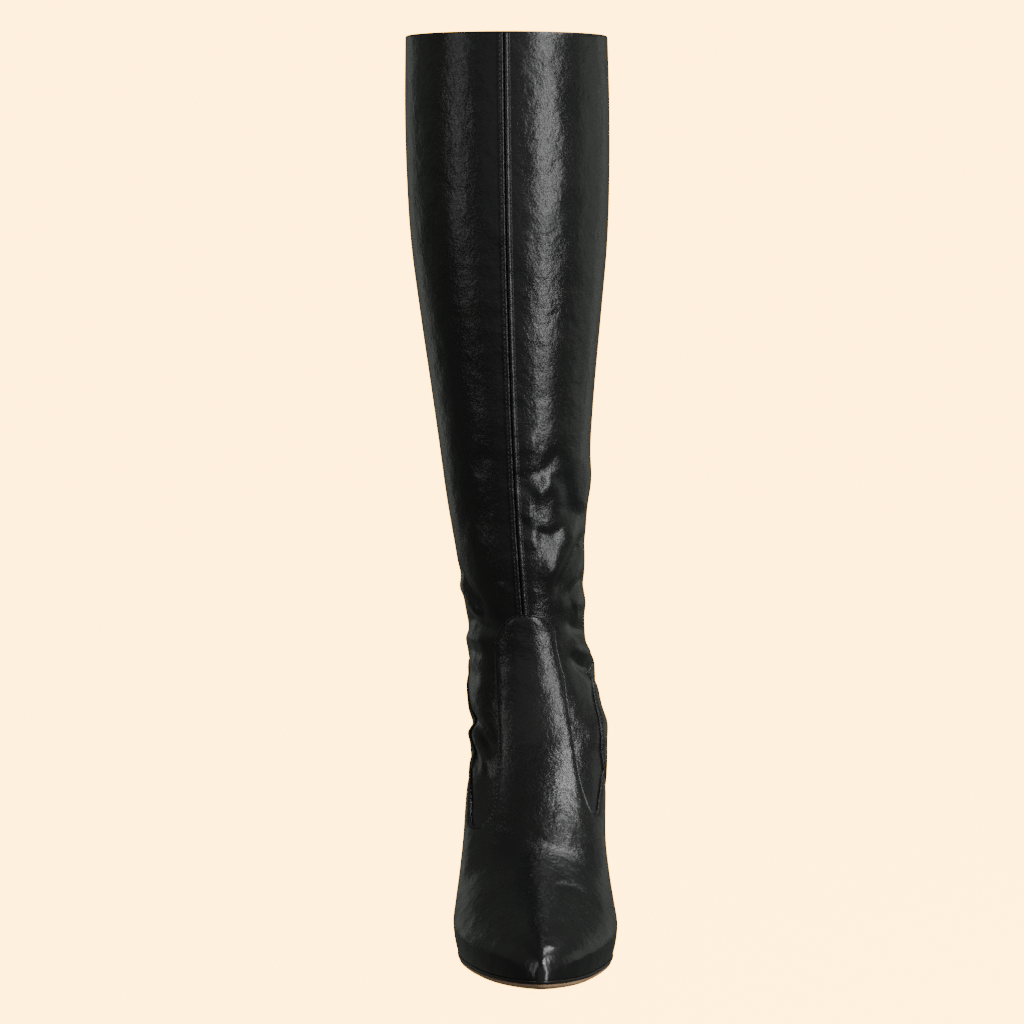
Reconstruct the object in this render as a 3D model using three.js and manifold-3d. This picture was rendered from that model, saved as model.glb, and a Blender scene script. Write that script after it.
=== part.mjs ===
// A knee-high boot for the wearer's right foot, standing empty on its sole and heel.
// Millimetres, +Z up. The origin is on the floor under the ball of the foot, the toe points to -Y and the
// inner side of the foot faces +X.

import * as THREE from "three";
import Module from "manifold-3d";

const wasm = await Module();
wasm.setup();

// Driving sizes of the foot
const toeLength = 88; // ball to toe tip, in plan
const backLength = 150; // ball to the back of the heel, in plan
const ballWidth = 84; // upper across the ball, under the vamp
const featherWidth = 78; // foot of the upper across the ball, where it meets the sole
const footDepth = 50; // sole to crown at the ball
const heelHeight = 95; // rise of the heel seat above the ball
const toeSpring = 4; // rise of the toe tip above the ball

// Driving sizes of the leg
const ankleRise = 80; // heel seat to the narrow of the ankle
const ankleWidth = 66;
const calfWidth = 112;
const calfDepth = 120;
const bootHeight = 490; // floor to collar
const legLean = 18.5; // how far the collar leans to the outer side

// Driving sizes of the pieces
const upperWall = 2;
const overlayThickness = 1.2;
const seamWidth = 7;
const seamThickness = 0.9;
const seamGroove = 0.4; // depth of the line between the two sides of the seam
const insoleThickness = 1.8;
const edgeThickness = 1.6; // the black layer between upper and outsole
const edgeReach = 2.2; // how far that layer stands out past the foot of the upper
const outsoleThickness = 2.7;
const outsoleInset = 0.8; // outsole inside the black layer
const outsoleBevel = 2.4;
const liftThickness = 4.7;
const heelTipLength = 15;
const heelTipWidth = 16;
const gap = 0.3; // between touching pieces

// How fine the surfaces are
const lowSteps = 5; // from the foot of a section to its widest place
const topSteps = 8; // from there to its crown
const heelSteps = 14; // round the back of the heel
const fineFrom = 9; // the first and last of the sections between which the wall takes a half step
const fineTo = 20;

// Heights and places that follow from them
const soleTop = outsoleThickness + gap + edgeThickness;
const seatLevel = soleTop + gap + heelHeight;
const ankleLevel = seatLevel + ankleRise;
const legPlace = 0.64 * backLength;

// Sections of the foot, from the toe tip to the back of the heel. place and crown are shares of toeLength
// ahead of the ball and of backLength behind it, spring is a share of toeSpring, rise and lift of heelHeight,
// and depth of footDepth. soleIn and soleOut are shares of featherWidth, wideIn, wideOut and shift of
// ballWidth. belly is how far up a section is widest; low and top are the powers of its curves below and
// above that. bow bends a section upright over its foot: at 0 it runs straight from foot to crown.
const footColumns = ["place", "spring", "rise", "soleIn", "soleOut", "crown", "lift", "depth", "wideIn",
  "wideOut", "shift", "belly", "low", "top", "bow"];
const footRows = [
  [-1, 1, 0, 0, 0, -0.985, 0, 0.22, 0, 0, 0.04, 0.4, 1.5, 2, 0],
  [-0.975, 0.92, 0, 0.055, 0.055, -0.945, 0, 0.29, 0.058, 0.058, 0.039, 0.4, 1.5, 2, 0],
  [-0.91, 0.74, 0, 0.13, 0.135, -0.87, 0, 0.38, 0.133, 0.135, 0.036, 0.4, 1.5, 1.85, 0],
  [-0.8, 0.48, 0, 0.22, 0.225, -0.76, 0, 0.455, 0.222, 0.226, 0.031, 0.4, 1.5, 1.7, 0],
  [-0.66, 0.24, 0, 0.305, 0.31, -0.62, 0, 0.525, 0.304, 0.31, 0.023, 0.38, 1.5, 1.6, 0],
  [-0.5, 0.08, 0, 0.38, 0.385, -0.465, 0, 0.6, 0.378, 0.384, 0.014, 0.36, 1.5, 1.6, 0],
  [-0.32, 0, 0, 0.448, 0.452, -0.29, 0, 0.695, 0.446, 0.45, 0.005, 0.34, 1.5, 1.65, 0],
  [-0.14, 0, 0, 0.49, 0.494, -0.13, 0, 0.8, 0.488, 0.492, -0.003, 0.33, 1.5, 1.7, 0],
  [0.03, 0, 0, 0.498, 0.504, 0.01, 0, 0.91, 0.499, 0.505, -0.009, 0.33, 1.5, 1.75, 0],
  [0.135, 0, 0.012, 0.472, 0.495, 0.105, 0.03, 1.03, 0.486, 0.498, -0.012, 0.35, 1.5, 1.8, 0],
  [0.25, 0, 0.085, 0.405, 0.46, 0.2, 0.15, 1.12, 0.46, 0.474, -0.017, 0.39, 1.5, 1.85, 0.04],
  [0.36, 0, 0.215, 0.34, 0.415, 0.275, 0.3, 1.14, 0.44, 0.452, -0.021, 0.42, 1.5, 1.9, 0.1],
  [0.48, 0, 0.4, 0.298, 0.365, 0.325, 0.45, 1.16, 0.435, 0.443, -0.017, 0.46, 1.5, 1.9, 0.18],
  [0.6, 0, 0.6, 0.295, 0.34, 0.355, 0.6, 1.13, 0.433, 0.435, -0.005, 0.5, 1.5, 1.9, 0.28],
  [0.72, 0, 0.785, 0.322, 0.335, 0.375, 0.74, 1.11, 0.43, 0.43, 0, 0.53, 1.5, 1.95, 0.38],
  [0.84, 0, 0.9, 0.322, 0.322, 0.385, 0.87, 1.12, 0.424, 0.424, 0, 0.56, 1.5, 1.95, 0.46],
  [0.93, 0, 0.955, 0.235, 0.235, 0.39, 0.95, 1.16, 0.418, 0.418, 0, 0.57, 1.45, 2, 0.5],
  [0.975, 0, 0.975, 0, 0, 0.39, 0.985, 1.29, 0.41, 0.41, 0, 0.57, 1.95, 2, 0.5],
];

// Sections of the ankle. backUp and frontUp are shares of ankleRise above the heel seat, back and crown of
// backLength, wideIn and wideOut of ankleWidth.
const ankleColumns = ["backUp", "back", "frontUp", "crown", "wideIn", "wideOut", "belly", "low", "bow"];
const ankleRows = [
  [0.1, 1, 0.87, 0.389, 0.515, 0.515, 0.56, 1.75, 0.44],
  [0.3, 0.99, 0.97, 0.385, 0.503, 0.503, 0.54, 1.7, 0.34],
  [0.53, 0.963, 1.08, 0.377, 0.495, 0.495, 0.52, 1.7, 0.22],
  [0.75, 0.943, 1.2, 0.369, 0.503, 0.503, 0.5, 1.8, 0.11],
  [0.98, 0.935, 1.34, 0.361, 0.522, 0.522, 0.5, 1.9, 0.04],
];

// Sections of the leg. backUp and frontUp are shares of the way from the ankle to the collar, back and front
// of half of calfDepth either side of the leg's own axis, wideIn and wideOut of calfWidth.
const legColumns = ["backUp", "back", "frontUp", "front", "wideIn", "wideOut", "belly"];
const legRows = [
  [0.065, 0.75, 0.15, 0.717, 0.324, 0.324, 0.5],
  [0.16, 0.787, 0.225, 0.758, 0.35, 0.35, 0.5],
  [0.265, 0.85, 0.305, 0.797, 0.374, 0.374, 0.5],
  [0.38, 0.908, 0.403, 0.845, 0.405, 0.405, 0.5],
  [0.51, 0.967, 0.52, 0.903, 0.445, 0.445, 0.5],
  [0.64, 1.005, 0.642, 0.957, 0.482, 0.482, 0.5],
  [0.76, 1.008, 0.76, 0.987, 0.497, 0.497, 0.5],
  [0.88, 0.975, 0.88, 1.012, 0.5, 0.5, 0.5],
  [1, 0.908, 1, 1.033, 0.493, 0.493, 0.5],
];

// How far the leg leans to the outer side: height as a share of bootHeight, lean as a share of legLean.
const leanRows = [
  [0.2, 0], [0.225, 0.05], [0.249, 0.15], [0.273, 0.255], [0.298, 0.335], [0.322, 0.39], [0.363, 0.475],
  [0.408, 0.56], [0.459, 0.65], [0.557, 0.77], [0.714, 0.895], [0.878, 0.97], [1, 1],
];

// Edge of the tongue seen from the front, from its top centre down to where it opens round the sides of the
// foot: its height as a share of ankleLevel, how far it lies to the outer and to the inner side of the leaning
// middle as shares of ankleWidth.
const tongueEdge = [
  [0.99, 0, 0], [0.985, 0.068, 0.106], [0.975, 0.114, 0.156], [0.963, 0.15, 0.195], [0.945, 0.195, 0.236],
  [0.92, 0.232, 0.264], [0.885, 0.253, 0.28], [0.834, 0.264, 0.292], [0.77, 0.275, 0.298],
  [0.695, 0.296, 0.296], [0.611, 0.322, 0.298], [0.556, 0.335, 0.308], [0.489, 0.346, 0.342],
  [0.445, 0.356, 0.376], [0.406, 0.374, 0.415], [0.37, 0.41, 0.47], [0.345, 0.46, 0.54], [0.32, 0.56, 0.62],
  [0.25, 0.62, 0.66],
];

// Upper edge of the vamp's wing and of the counter seen from the side, from the front of the wing to the
// back of the heel: its place as a share of backLength, its height as a share of ankleLevel.
const wingEdge = [[0.1, 0.42], [0.16, 0.38], [0.2, 0.36], [0.253, 0.352], [0.307, 0.38], [0.347, 0.425],
  [0.4, 0.478], [0.437, 0.509]];
const counterEdge = [[0.437, 0.509], [0.453, 0.598], [0.52, 0.693], [0.587, 0.756], [0.667, 0.8],
  [0.8, 0.85], [0.933, 0.885], [1.1, 0.905]];
const sideSeamFoot = [0.5, 0.2]; // where the seam between vamp and counter reaches below the sole

// The heel from the seat to its tip: how far down as a share, its breast and its back as shares of the way
// from the top's place to the tip's place, and how much of its width is left.
const heelColumns = ["down", "breast", "back", "width"];
const heelRows = [
  [0, 0, 0, 1],
  [0.1, 0.3, 0.12, 0.9],
  [0.24, 0.6, 0.35, 0.68],
  [0.42, 0.82, 0.62, 0.4],
  [0.66, 0.95, 0.86, 0.16],
  [1, 1, 1, 0],
];
// The heel's flat front from its outer to its inner corner: place as a share of half its width, depth as a
// share of its length.
const heelFront = [[-0.94, 0], [-0.45, 0.06], [0, 0.078], [0.45, 0.06], [0.94, 0]];
const heelRound = 0.45; // least length of the heel's front part, as a share of its length
const heelBreast = 0.72; // where the heel's front face starts at the seat, as a share of backLength
const heelTipPlace = 0.9; // centre of the heel's tip, as a share of backLength

// The front seam across: places as shares of seamWidth. At the grooved ones it is lower by seamGroove.
const seamProfile = [
  { place: 0.5, grooved: true }, { place: 0.36 }, { place: 0.14 }, { place: 0, grooved: true },
  { place: -0.14 }, { place: -0.36 }, { place: -0.5, grooved: true },
];

const leather = { color: 0x17181a, roughness: 0.42, metalness: 0 };
const coveredLeather = { color: 0x151617, roughness: 0.38, metalness: 0 };
const edgePaint = { color: 0x101010, roughness: 0.35, metalness: 0 };
const tanLeather = { color: 0xb08a63, roughness: 0.55, metalness: 0 };
const sockLeather = { color: 0x2a2826, roughness: 0.7, metalness: 0 };
const hardRubber = { color: 0x1b1b1b, roughness: 0.8, metalness: 0 };

// Rows of a table with their columns' names
function named(columns, rows) {
  return rows.map((row) => Object.fromEntries(columns.map((name, i) => [name, row[i]])));
}

// Distance behind the ball of a share of the foot's two lengths
function along(share) {
  return share * (share < 0 ? toeLength : backLength);
}

const foot = named(footColumns, footRows).map((row) => ({
  baseY: along(row.place),
  baseZ: soleTop + gap + row.spring * toeSpring + row.rise * heelHeight,
  soleIn: row.soleIn * featherWidth,
  soleOut: row.soleOut * featherWidth,
  crownY: along(row.crown),
  crownZ: soleTop + gap + row.lift * heelHeight + row.depth * footDepth,
  wideIn: row.wideIn * ballWidth,
  wideOut: row.wideOut * ballWidth,
  shift: row.shift * ballWidth,
  belly: row.belly,
  low: row.low,
  top: row.top,
  bow: row.bow,
}));

const ankle = named(ankleColumns, ankleRows).map((row) => ({
  baseY: row.back * backLength,
  baseZ: seatLevel + row.backUp * ankleRise,
  crownY: row.crown * backLength,
  crownZ: seatLevel + row.frontUp * ankleRise,
  wideIn: row.wideIn * ankleWidth,
  wideOut: row.wideOut * ankleWidth,
  belly: row.belly,
  low: row.low,
  bow: row.bow,
}));

const leg = named(legColumns, legRows).map((row) => ({
  baseY: legPlace + (row.back * calfDepth) / 2,
  baseZ: ankleLevel + row.backUp * (bootHeight - ankleLevel),
  crownY: legPlace - (row.front * calfDepth) / 2,
  crownZ: ankleLevel + row.frontUp * (bootHeight - ankleLevel),
  wideIn: row.wideIn * calfWidth,
  wideOut: row.wideOut * calfWidth,
  belly: row.belly,
}));

const round = 2; // power of a plain ellipse
const plain = { low: round, top: round, bow: 0, shift: 0 };
const sections = [...foot, ...[...ankle, ...leg].map((row) => ({ ...plain, ...row }))];
const heelSection = foot.length - 1; // the section at the back end of the sole
const collarSection = sections.length - 1;

// A smooth curve through one column of the sections. Past an end it repeats the end value, or with fold 1 or
// -1 mirrors the values, so that the toe and the heel close round.
function column(rows, name, s, fold = 0) {
  const last = rows.length - 1;
  const value = (k) => {
    if (k < 0) return fold ? fold * rows[-k][name] : rows[0][name];
    if (k > last) return fold ? fold * rows[2 * last - k][name] : rows[last][name];
    return rows[k][name];
  };
  const i = Math.min(Math.floor(s), last - 1);
  const f = s - i;
  const [a, b, c, d] = [value(i - 1), value(i), value(i + 1), value(i + 2)];
  const slope = (c - a) * f;
  const bend = (2 * a - 5 * b + 4 * c - d) * f * f;
  const twist = (3 * (b - c) + d - a) * f * f * f;
  return 0.5 * (2 * b + slope + bend + twist);
}

// How far a height leans to the outer side
function leanAt(z) {
  const share = Math.min(Math.max(z / bootHeight, leanRows[0][0]), 1);
  const last = leanRows.length - 1;
  const k = Math.min(Math.max(leanRows.findIndex(([height]) => height > share), 1), last) - 1;
  const slope = (i) => {
    const [before, after] = [leanRows[i - 1], leanRows[Math.min(i + 1, last)]];
    return i === 0 ? 0 : (after[1] - before[1]) / (after[0] - before[0]);
  };
  const from = share < leanRows[last][0] ? k : last - 1;
  const width = leanRows[from + 1][0] - leanRows[from][0];
  const f = (share - leanRows[from][0]) / width;
  const rise = leanRows[from][1] * (1 + 2 * f) * (1 - f) ** 2 + leanRows[from + 1][1] * f * f * (3 - 2 * f);
  const turn = slope(from) * f * (1 - f) ** 2 - slope(from + 1) * f * f * (1 - f);
  return -legLean * (rise + width * turn);
}

// The section number between two others where a rising value reaches a target
function whereReached(value, target, from, to) {
  const near = 1e-9;
  let [low, high] = [from, to];
  while (high - low > near) {
    const middle = (low + high) / 2;
    if (value(middle) < target) low = middle;
    else high = middle;
  }
  return low;
}

// Height of the foot of the upper at a place along the foot
function featherHeight(y) {
  const place = (s) => column(foot, "baseY", s, 1);
  const height = (s) => column(foot, "baseZ", s);
  const step = 0.5;
  if (y <= place(0)) {
    return height(0) + ((y - place(0)) * (height(step) - height(0))) / (place(step) - place(0));
  }
  if (y >= place(heelSection)) {
    const before = heelSection - step;
    const slope = (height(heelSection) - height(before)) / (place(heelSection) - place(before));
    return height(heelSection) + (y - place(heelSection)) * slope;
  }
  return height(whereReached(place, y, 0, heelSection));
}

// Foot and crown of a section, and its half widths
function section(s) {
  const onSole = s <= heelSection;
  const read = (name, fold = 0) => column(sections, name, s, s < 1 ? fold : 0);
  return {
    baseY: onSole ? column(foot, "baseY", s, 1) : read("baseY"),
    baseZ: onSole ? featherHeight(column(foot, "baseY", s, 1)) : read("baseZ"),
    soleIn: onSole ? column(foot, "soleIn", s, -1) : 0,
    soleOut: onSole ? column(foot, "soleOut", s, -1) : 0,
    crownY: read("crownY", 1),
    crownZ: read("crownZ", 1),
    wideIn: read("wideIn", -1),
    wideOut: read("wideOut", -1),
    shift: read("shift", 1),
    belly: read("belly"),
    low: read("low"),
    top: read("top"),
    bow: read("bow"),
  };
}

const lowShare = lowSteps / (lowSteps + topSteps);

// The sections that the walls are built through
const wallPlaces = [0, 0.5, 1, 1.5];
for (let s = 2; s <= collarSection; s++) {
  wallPlaces.push(s);
  if (s >= fineFrom && s < fineTo) wallPlaces.push(s + 0.5);
}

// A point of the upper's outer face. t runs from -1 at the inner foot of the section, over 0 at the crown,
// to 1 at its outer foot.
function skin(s, t) {
  const row = section(s);
  const inner = t < 0;
  const sole = inner ? row.soleIn : row.soleOut;
  const wide = inner ? row.wideIn : row.wideOut;
  const climb = 1 - Math.abs(t);
  let across;
  let up;
  if (climb < lowShare) {
    const angle = ((climb / lowShare) * Math.PI) / 2;
    up = row.belly * (1 - Math.cos(angle) ** (2 / row.low));
    across = sole + (wide - sole) * Math.sin(angle) ** (2 / row.low);
  } else {
    const angle = (((climb - lowShare) / (1 - lowShare)) * Math.PI) / 2;
    up = row.belly + (1 - row.belly) * Math.sin(angle) ** (2 / row.top);
    across = wide * Math.max(Math.cos(angle), 0) ** (2 / row.top);
  }
  const bend = row.bow * up * (1 - up);
  const z = row.baseZ + (up + bend) * (row.crownZ - row.baseZ);
  return new THREE.Vector3(
    row.shift + leanAt(z) + (inner ? across : -across),
    row.baseY + (up - bend) * (row.crownY - row.baseY),
    z,
  );
}

// The outward direction there
function outward(s, t) {
  const step = 0.002;
  const tip = 0.03; // the first section has no width, so its direction is read just behind it
  const at = Math.max(s, tip);
  const [before, after] = [at - step, Math.min(at + step, collarSection)];
  const alongS = skin(after, t).sub(skin(before, t));
  const alongT = skin(at, Math.min(t + step, 1)).sub(skin(at, Math.max(t - step, -1)));
  const normal = alongS.cross(alongT);
  if (s < tip) normal.x = 0;
  return normal.normalize();
}

// A point standing off the upper's outer face. Along the sole it stays on the sole's own surface.
function offSkin(s, t, distance) {
  if (Math.abs(t) === 1 && s <= heelSection) return soleEdge(s, -t, distance, 0);
  return skin(s, t).addScaledVector(outward(s, t), distance);
}

// A closed solid out of vertices and triangles
function solid(vertices, triangles) {
  const mesh = new wasm.Mesh({
    numProp: 3,
    vertProperties: new Float32Array(vertices.flatMap((v) => [v.x, v.y, v.z])),
    triVerts: new Uint32Array(triangles.flat()),
  });
  return new wasm.Manifold(mesh);
}

// The two triangles of a four-cornered face
function quad(a, b, c, d) {
  return [[a, b, c], [a, c, d]];
}

// A wall between two distances off the upper's outer face, open at the collar and along the sole
function wall(inside, outside) {
  const across = 2 * (lowSteps + topSteps);
  const vertices = [];
  const known = new Map();
  const vertex = (s, j, distance) => {
    let k = j;
    if (s === 0 && j > across / 2) k = across - j;
    if (s >= heelSection && j === across) k = 0;
    const key = `${s} ${k} ${distance}`;
    if (!known.has(key)) {
      known.set(key, vertices.length);
      vertices.push(offSkin(s, (2 * k) / across - 1, distance));
    }
    return known.get(key);
  };
  const triangles = [];
  for (let i = 0; i + 1 < wallPlaces.length; i++) {
    const [s, after] = [wallPlaces[i], wallPlaces[i + 1]];
    for (let j = 0; j < across; j++) {
      const face = [[s, j], [after, j], [after, j + 1], [s, j + 1]];
      if (j < across / 2) face.push(face.shift()); // the two sides mirror each other
      const [a, b, c, d] = face;
      triangles.push(...quad(...[a, b, c, d].map(([place, k]) => vertex(place, k, outside))));
      triangles.push(...quad(...[a, d, c, b].map(([place, k]) => vertex(place, k, inside))));
    }
    if (s < heelSection) {
      for (const [first, second, j] of [[s, after, 0], [after, s, across]]) {
        triangles.push(...quad(vertex(first, j, outside), vertex(first, j, inside),
          vertex(second, j, inside), vertex(second, j, outside)));
      }
    }
  }
  for (let j = 0; j < across; j++) {
    triangles.push(...quad(vertex(collarSection, j, outside), vertex(collarSection, j, inside),
      vertex(collarSection, j + 1, inside), vertex(collarSection, j + 1, outside)));
  }
  return solid(vertices, triangles);
}

// A flat pattern drawn in a view and pushed through the boot. From the side it is drawn in Y and Z, from the
// front in X and Z.
function patternFromSide(points) {
  const half = calfWidth;
  const shape = new THREE.Shape(points.map(([y, z]) => new THREE.Vector2(y, z)));
  const geometry = new THREE.ExtrudeGeometry(shape, { depth: 2 * half, bevelEnabled: false });
  const turn = new THREE.Matrix4().makeBasis(
    new THREE.Vector3(0, 1, 0), new THREE.Vector3(0, 0, 1), new THREE.Vector3(1, 0, 0));
  geometry.applyMatrix4(turn);
  geometry.translate(-half, 0, 0);
  return fromGeometry(geometry);
}

function patternFromFront(points, front, back) {
  const shape = new THREE.Shape(points.map(([x, z]) => new THREE.Vector2(x, z)));
  const geometry = new THREE.ExtrudeGeometry(shape, { depth: back - front, bevelEnabled: false });
  const turn = new THREE.Matrix4().makeBasis(
    new THREE.Vector3(1, 0, 0), new THREE.Vector3(0, 0, 1), new THREE.Vector3(0, -1, 0));
  geometry.applyMatrix4(turn);
  geometry.translate(0, back, 0);
  return fromGeometry(geometry);
}

// A solid out of a three.js geometry, with its shared corners joined
function fromGeometry(geometry) {
  const position = (geometry.index ? geometry.toNonIndexed() : geometry).getAttribute("position");
  const vertices = [];
  const known = new Map();
  const corners = [];
  for (let i = 0; i < position.count; i++) {
    const v = new THREE.Vector3().fromBufferAttribute(position, i);
    const key = v.toArray().map((n) => n.toFixed(4)).join(" ");
    if (!known.has(key)) {
      known.set(key, vertices.length);
      vertices.push(v);
    }
    corners.push(known.get(key));
  }
  const triangles = [];
  for (let i = 0; i < corners.length; i += 3) triangles.push(corners.slice(i, i + 3));
  return solid(vertices, triangles);
}

// Upper: one hollow wall
function upper() {
  return wall(-upperWall, 0);
}

const overlay = wall(gap, gap + overlayThickness);
const sidePoint = ([place, height]) => [place * backLength, height * ankleLevel];
const farFront = -2 * toeLength;
const farBelow = -heelHeight;

// Vamp: the forefoot with its tongue and wings
function vamp() {
  const seamFoot = sidePoint(sideSeamFoot);
  const wing = patternFromSide([
    [farFront, farBelow],
    [seamFoot[0], farBelow],
    seamFoot,
    ...[...wingEdge].reverse().map(sidePoint),
    [farFront, wingEdge[0][1] * ankleLevel],
  ]);
  const leant = (across, z) => [across * ankleWidth + leanAt(z), z];
  const innerSide = tongueEdge.map(([height, , inner]) => leant(inner, height * ankleLevel));
  const outerSide = tongueEdge.slice(1).map(([height, outer]) => leant(-outer, height * ankleLevel));
  const tongueBack = wingEdge[wingEdge.length - 1][0] * backLength;
  const tongue = patternFromFront([...innerSide, ...outerSide.reverse()], farFront, tongueBack);
  return overlay.intersect(wing.add(tongue));
}

// Counter: round the heel and up behind the ankle
function counter() {
  const behind = ([y, z]) => [y + gap, z];
  return overlay.intersect(patternFromSide([
    behind(sidePoint(sideSeamFoot)),
    [2 * backLength, sideSeamFoot[1] * ankleLevel],
    [2 * backLength, ankleLevel],
    ...[...counterEdge].reverse().map(sidePoint).map(behind),
  ]));
}

// Place across a section's front, as t, of a distance from its crown
function acrossFront(s, distance) {
  const row = section(s);
  const wide = distance > 0 ? row.wideIn : row.wideOut;
  const angle = Math.acos((Math.abs(distance) / wide) ** (row.top / 2));
  const climb = lowShare + ((1 - lowShare) * angle * 2) / Math.PI;
  return distance > 0 ? climb - 1 : 1 - climb;
}

// Front seam: two low ridges with a line between them, from the tongue to the collar
function frontSeam() {
  const startHeight = tongueEdge[0][0] * ankleLevel + 2 * gap + overlayThickness;
  const start = whereReached((s) => section(s).crownZ, startHeight, heelSection, collarSection);
  const full = gap + seamThickness;
  const places = [start];
  for (let s = Math.ceil(start); s <= collarSection; s++) places.push(s);
  const vertices = [];
  for (const s of places) {
    const t = seamProfile.map(({ place }) => acrossFront(s, place * seamWidth));
    seamProfile.forEach(({ grooved }, k) => {
      vertices.push(offSkin(s, t[k], grooved ? full - seamGroove : full));
    });
    t.forEach((place) => vertices.push(offSkin(s, place, gap)));
  }
  const count = seamProfile.length;
  const ring = [...Array(count).keys(), ...[...Array(count).keys()].reverse().map((k) => k + count)];
  return tube(vertices, places.length, ring, 2 * count);
}

// A closed solid through rings that each have the same number of vertices, in the order given by ring. The
// outward side is on the left of that order, seen along the rings.
function tube(vertices, rings, ring, size) {
  const triangles = [];
  const count = ring.length;
  for (let i = 0; i < rings - 1; i++) {
    for (let k = 0; k < count; k++) {
      const next = (k + 1) % count;
      triangles.push(...quad(i * size + ring[k], (i + 1) * size + ring[k],
        (i + 1) * size + ring[next], i * size + ring[next]));
    }
  }
  const cap = THREE.ShapeUtils.triangulateShape(flatten(ring.map((k) => vertices[k])), []);
  for (const [a, b, c] of cap) {
    const last = (rings - 1) * size;
    triangles.push([ring[a], ring[b], ring[c]]);
    triangles.push([last + ring[c], last + ring[b], last + ring[a]]);
  }
  const made = solid(vertices, triangles);
  return made.volume() > 0 ? made : solid(vertices, triangles.map(([a, b, c]) => [a, c, b]));
}

// Points of a flat ring as 2D points in its own plane
function flatten(points) {
  const centre = points.reduce((sum, p) => sum.add(p), new THREE.Vector3()).divideScalar(points.length);
  const normal = new THREE.Vector3();
  points.forEach((p, i) => {
    const next = points[(i + 1) % points.length];
    normal.add(p.clone().sub(centre).cross(next.clone().sub(centre)));
  });
  normal.normalize();
  const u = points[0].clone().sub(centre);
  u.addScaledVector(normal, -u.dot(normal)).normalize();
  const v = normal.clone().cross(u);
  return points.map((p) => {
    const arm = p.clone().sub(centre);
    return new THREE.Vector2(arm.dot(u), arm.dot(v));
  });
}

// A point of the sole's outline, moved out by a distance in plan. side is 1 on the inner side, -1 on the
// outer, and drop is how far it lies under the foot of the upper.
function soleEdge(s, side, reach, drop) {
  const name = side > 0 ? "soleIn" : "soleOut";
  const spot = (k) => new THREE.Vector2(
    column(sections, "shift", Math.max(k, 0)) + side * column(foot, name, k, -1),
    column(foot, "baseY", k, 1));
  const step = 0.01;
  const [before, after] = [Math.max(s - step, 0), Math.min(s + step, heelSection)];
  const run = spot(after).sub(spot(before)).normalize();
  const normal = new THREE.Vector2(side * run.y, -side * run.x);
  if (s === 0) normal.set(0, -1);
  if (s === heelSection) normal.set(0, 1);
  const p = spot(s).addScaledVector(normal, reach);
  return new THREE.Vector3(p.x, p.y, featherHeight(p.y) - drop);
}

// A layer that follows the sole from the toe to a section. profile lists reach and drop down one side.
function soleLayer(profile, lastSection) {
  const count = profile.length;
  const vertices = [];
  const known = new Map();
  const vertex = (s, k) => {
    const side = k < count ? 1 : -1;
    const place = k < count ? k : 2 * count - 1 - k;
    const closed = s === 0 || s === heelSection;
    const key = `${s} ${closed ? 0 : side} ${place}`;
    if (!known.has(key)) {
      known.set(key, vertices.length);
      vertices.push(soleEdge(s, side, ...profile[place]));
    }
    return known.get(key);
  };
  const places = [...wallPlaces.filter((s) => s < lastSection), lastSection];
  const triangles = [];
  for (let i = 0; i + 1 < places.length; i++) {
    for (let k = 0; k < 2 * count; k++) {
      const next = (k + 1) % (2 * count);
      const corners = [[places[i], k], [places[i], next], [places[i + 1], next], [places[i + 1], k]];
      const face = corners.map(([s, j]) => vertex(s, j));
      for (const triangle of quad(...face)) {
        if (new Set(triangle).size === 3) triangles.push(triangle);
      }
    }
  }
  if (lastSection !== heelSection) {
    for (let k = 1; k + 1 < 2 * count; k++) {
      triangles.push([0, k, k + 1].map((j) => vertex(lastSection, j)));
    }
  }
  const made = solid(vertices, triangles);
  return made.volume() > 0 ? made : solid(vertices, triangles.map(([a, b, c]) => [a, c, b]));
}

// Insole: inside the upper's wall, on the black layer
function insole() {
  const reach = -(upperWall + 2 * gap);
  return soleLayer([[reach, -insoleThickness], [reach, 0]], heelSection);
}

// Sole edge: the thin black layer under the whole foot
function soleEdgeLayer() {
  const top = gap;
  return soleLayer([[edgeReach, top], [edgeReach, top + edgeThickness]], heelSection);
}

// Outsole: from the toe to the heel's breast, with a bevelled edge and flat tread under the ball
function outsole() {
  const top = gap + edgeThickness + gap;
  const reach = edgeReach - outsoleInset;
  const profile = [
    [reach, top],
    [reach, top + outsoleThickness / 3],
    [reach - outsoleBevel, top + outsoleThickness],
  ];
  const end = heelBreast * backLength - gap;
  return soleLayer(profile, whereReached((s) => column(foot, "baseY", s, 1), end, 0, heelSection));
}

// One ring of the heel: a round back and a flat, slightly hollow front. height gives Z at a place.
function heelRing(breast, back, halfWidth, height) {
  const length = back - breast;
  const centre = breast + Math.max(length - halfWidth, heelRound * length);
  const points = [];
  for (let i = 0; i <= heelSteps; i++) {
    const angle = (Math.PI * i) / heelSteps;
    points.push([halfWidth * Math.cos(angle), centre + (back - centre) * Math.sin(angle)]);
  }
  heelFront.forEach(([place, hollow]) => points.push([place * halfWidth, breast + hollow * length]));
  return points.map(([x, y]) => new THREE.Vector3(x, y, height(y)));
}

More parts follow.
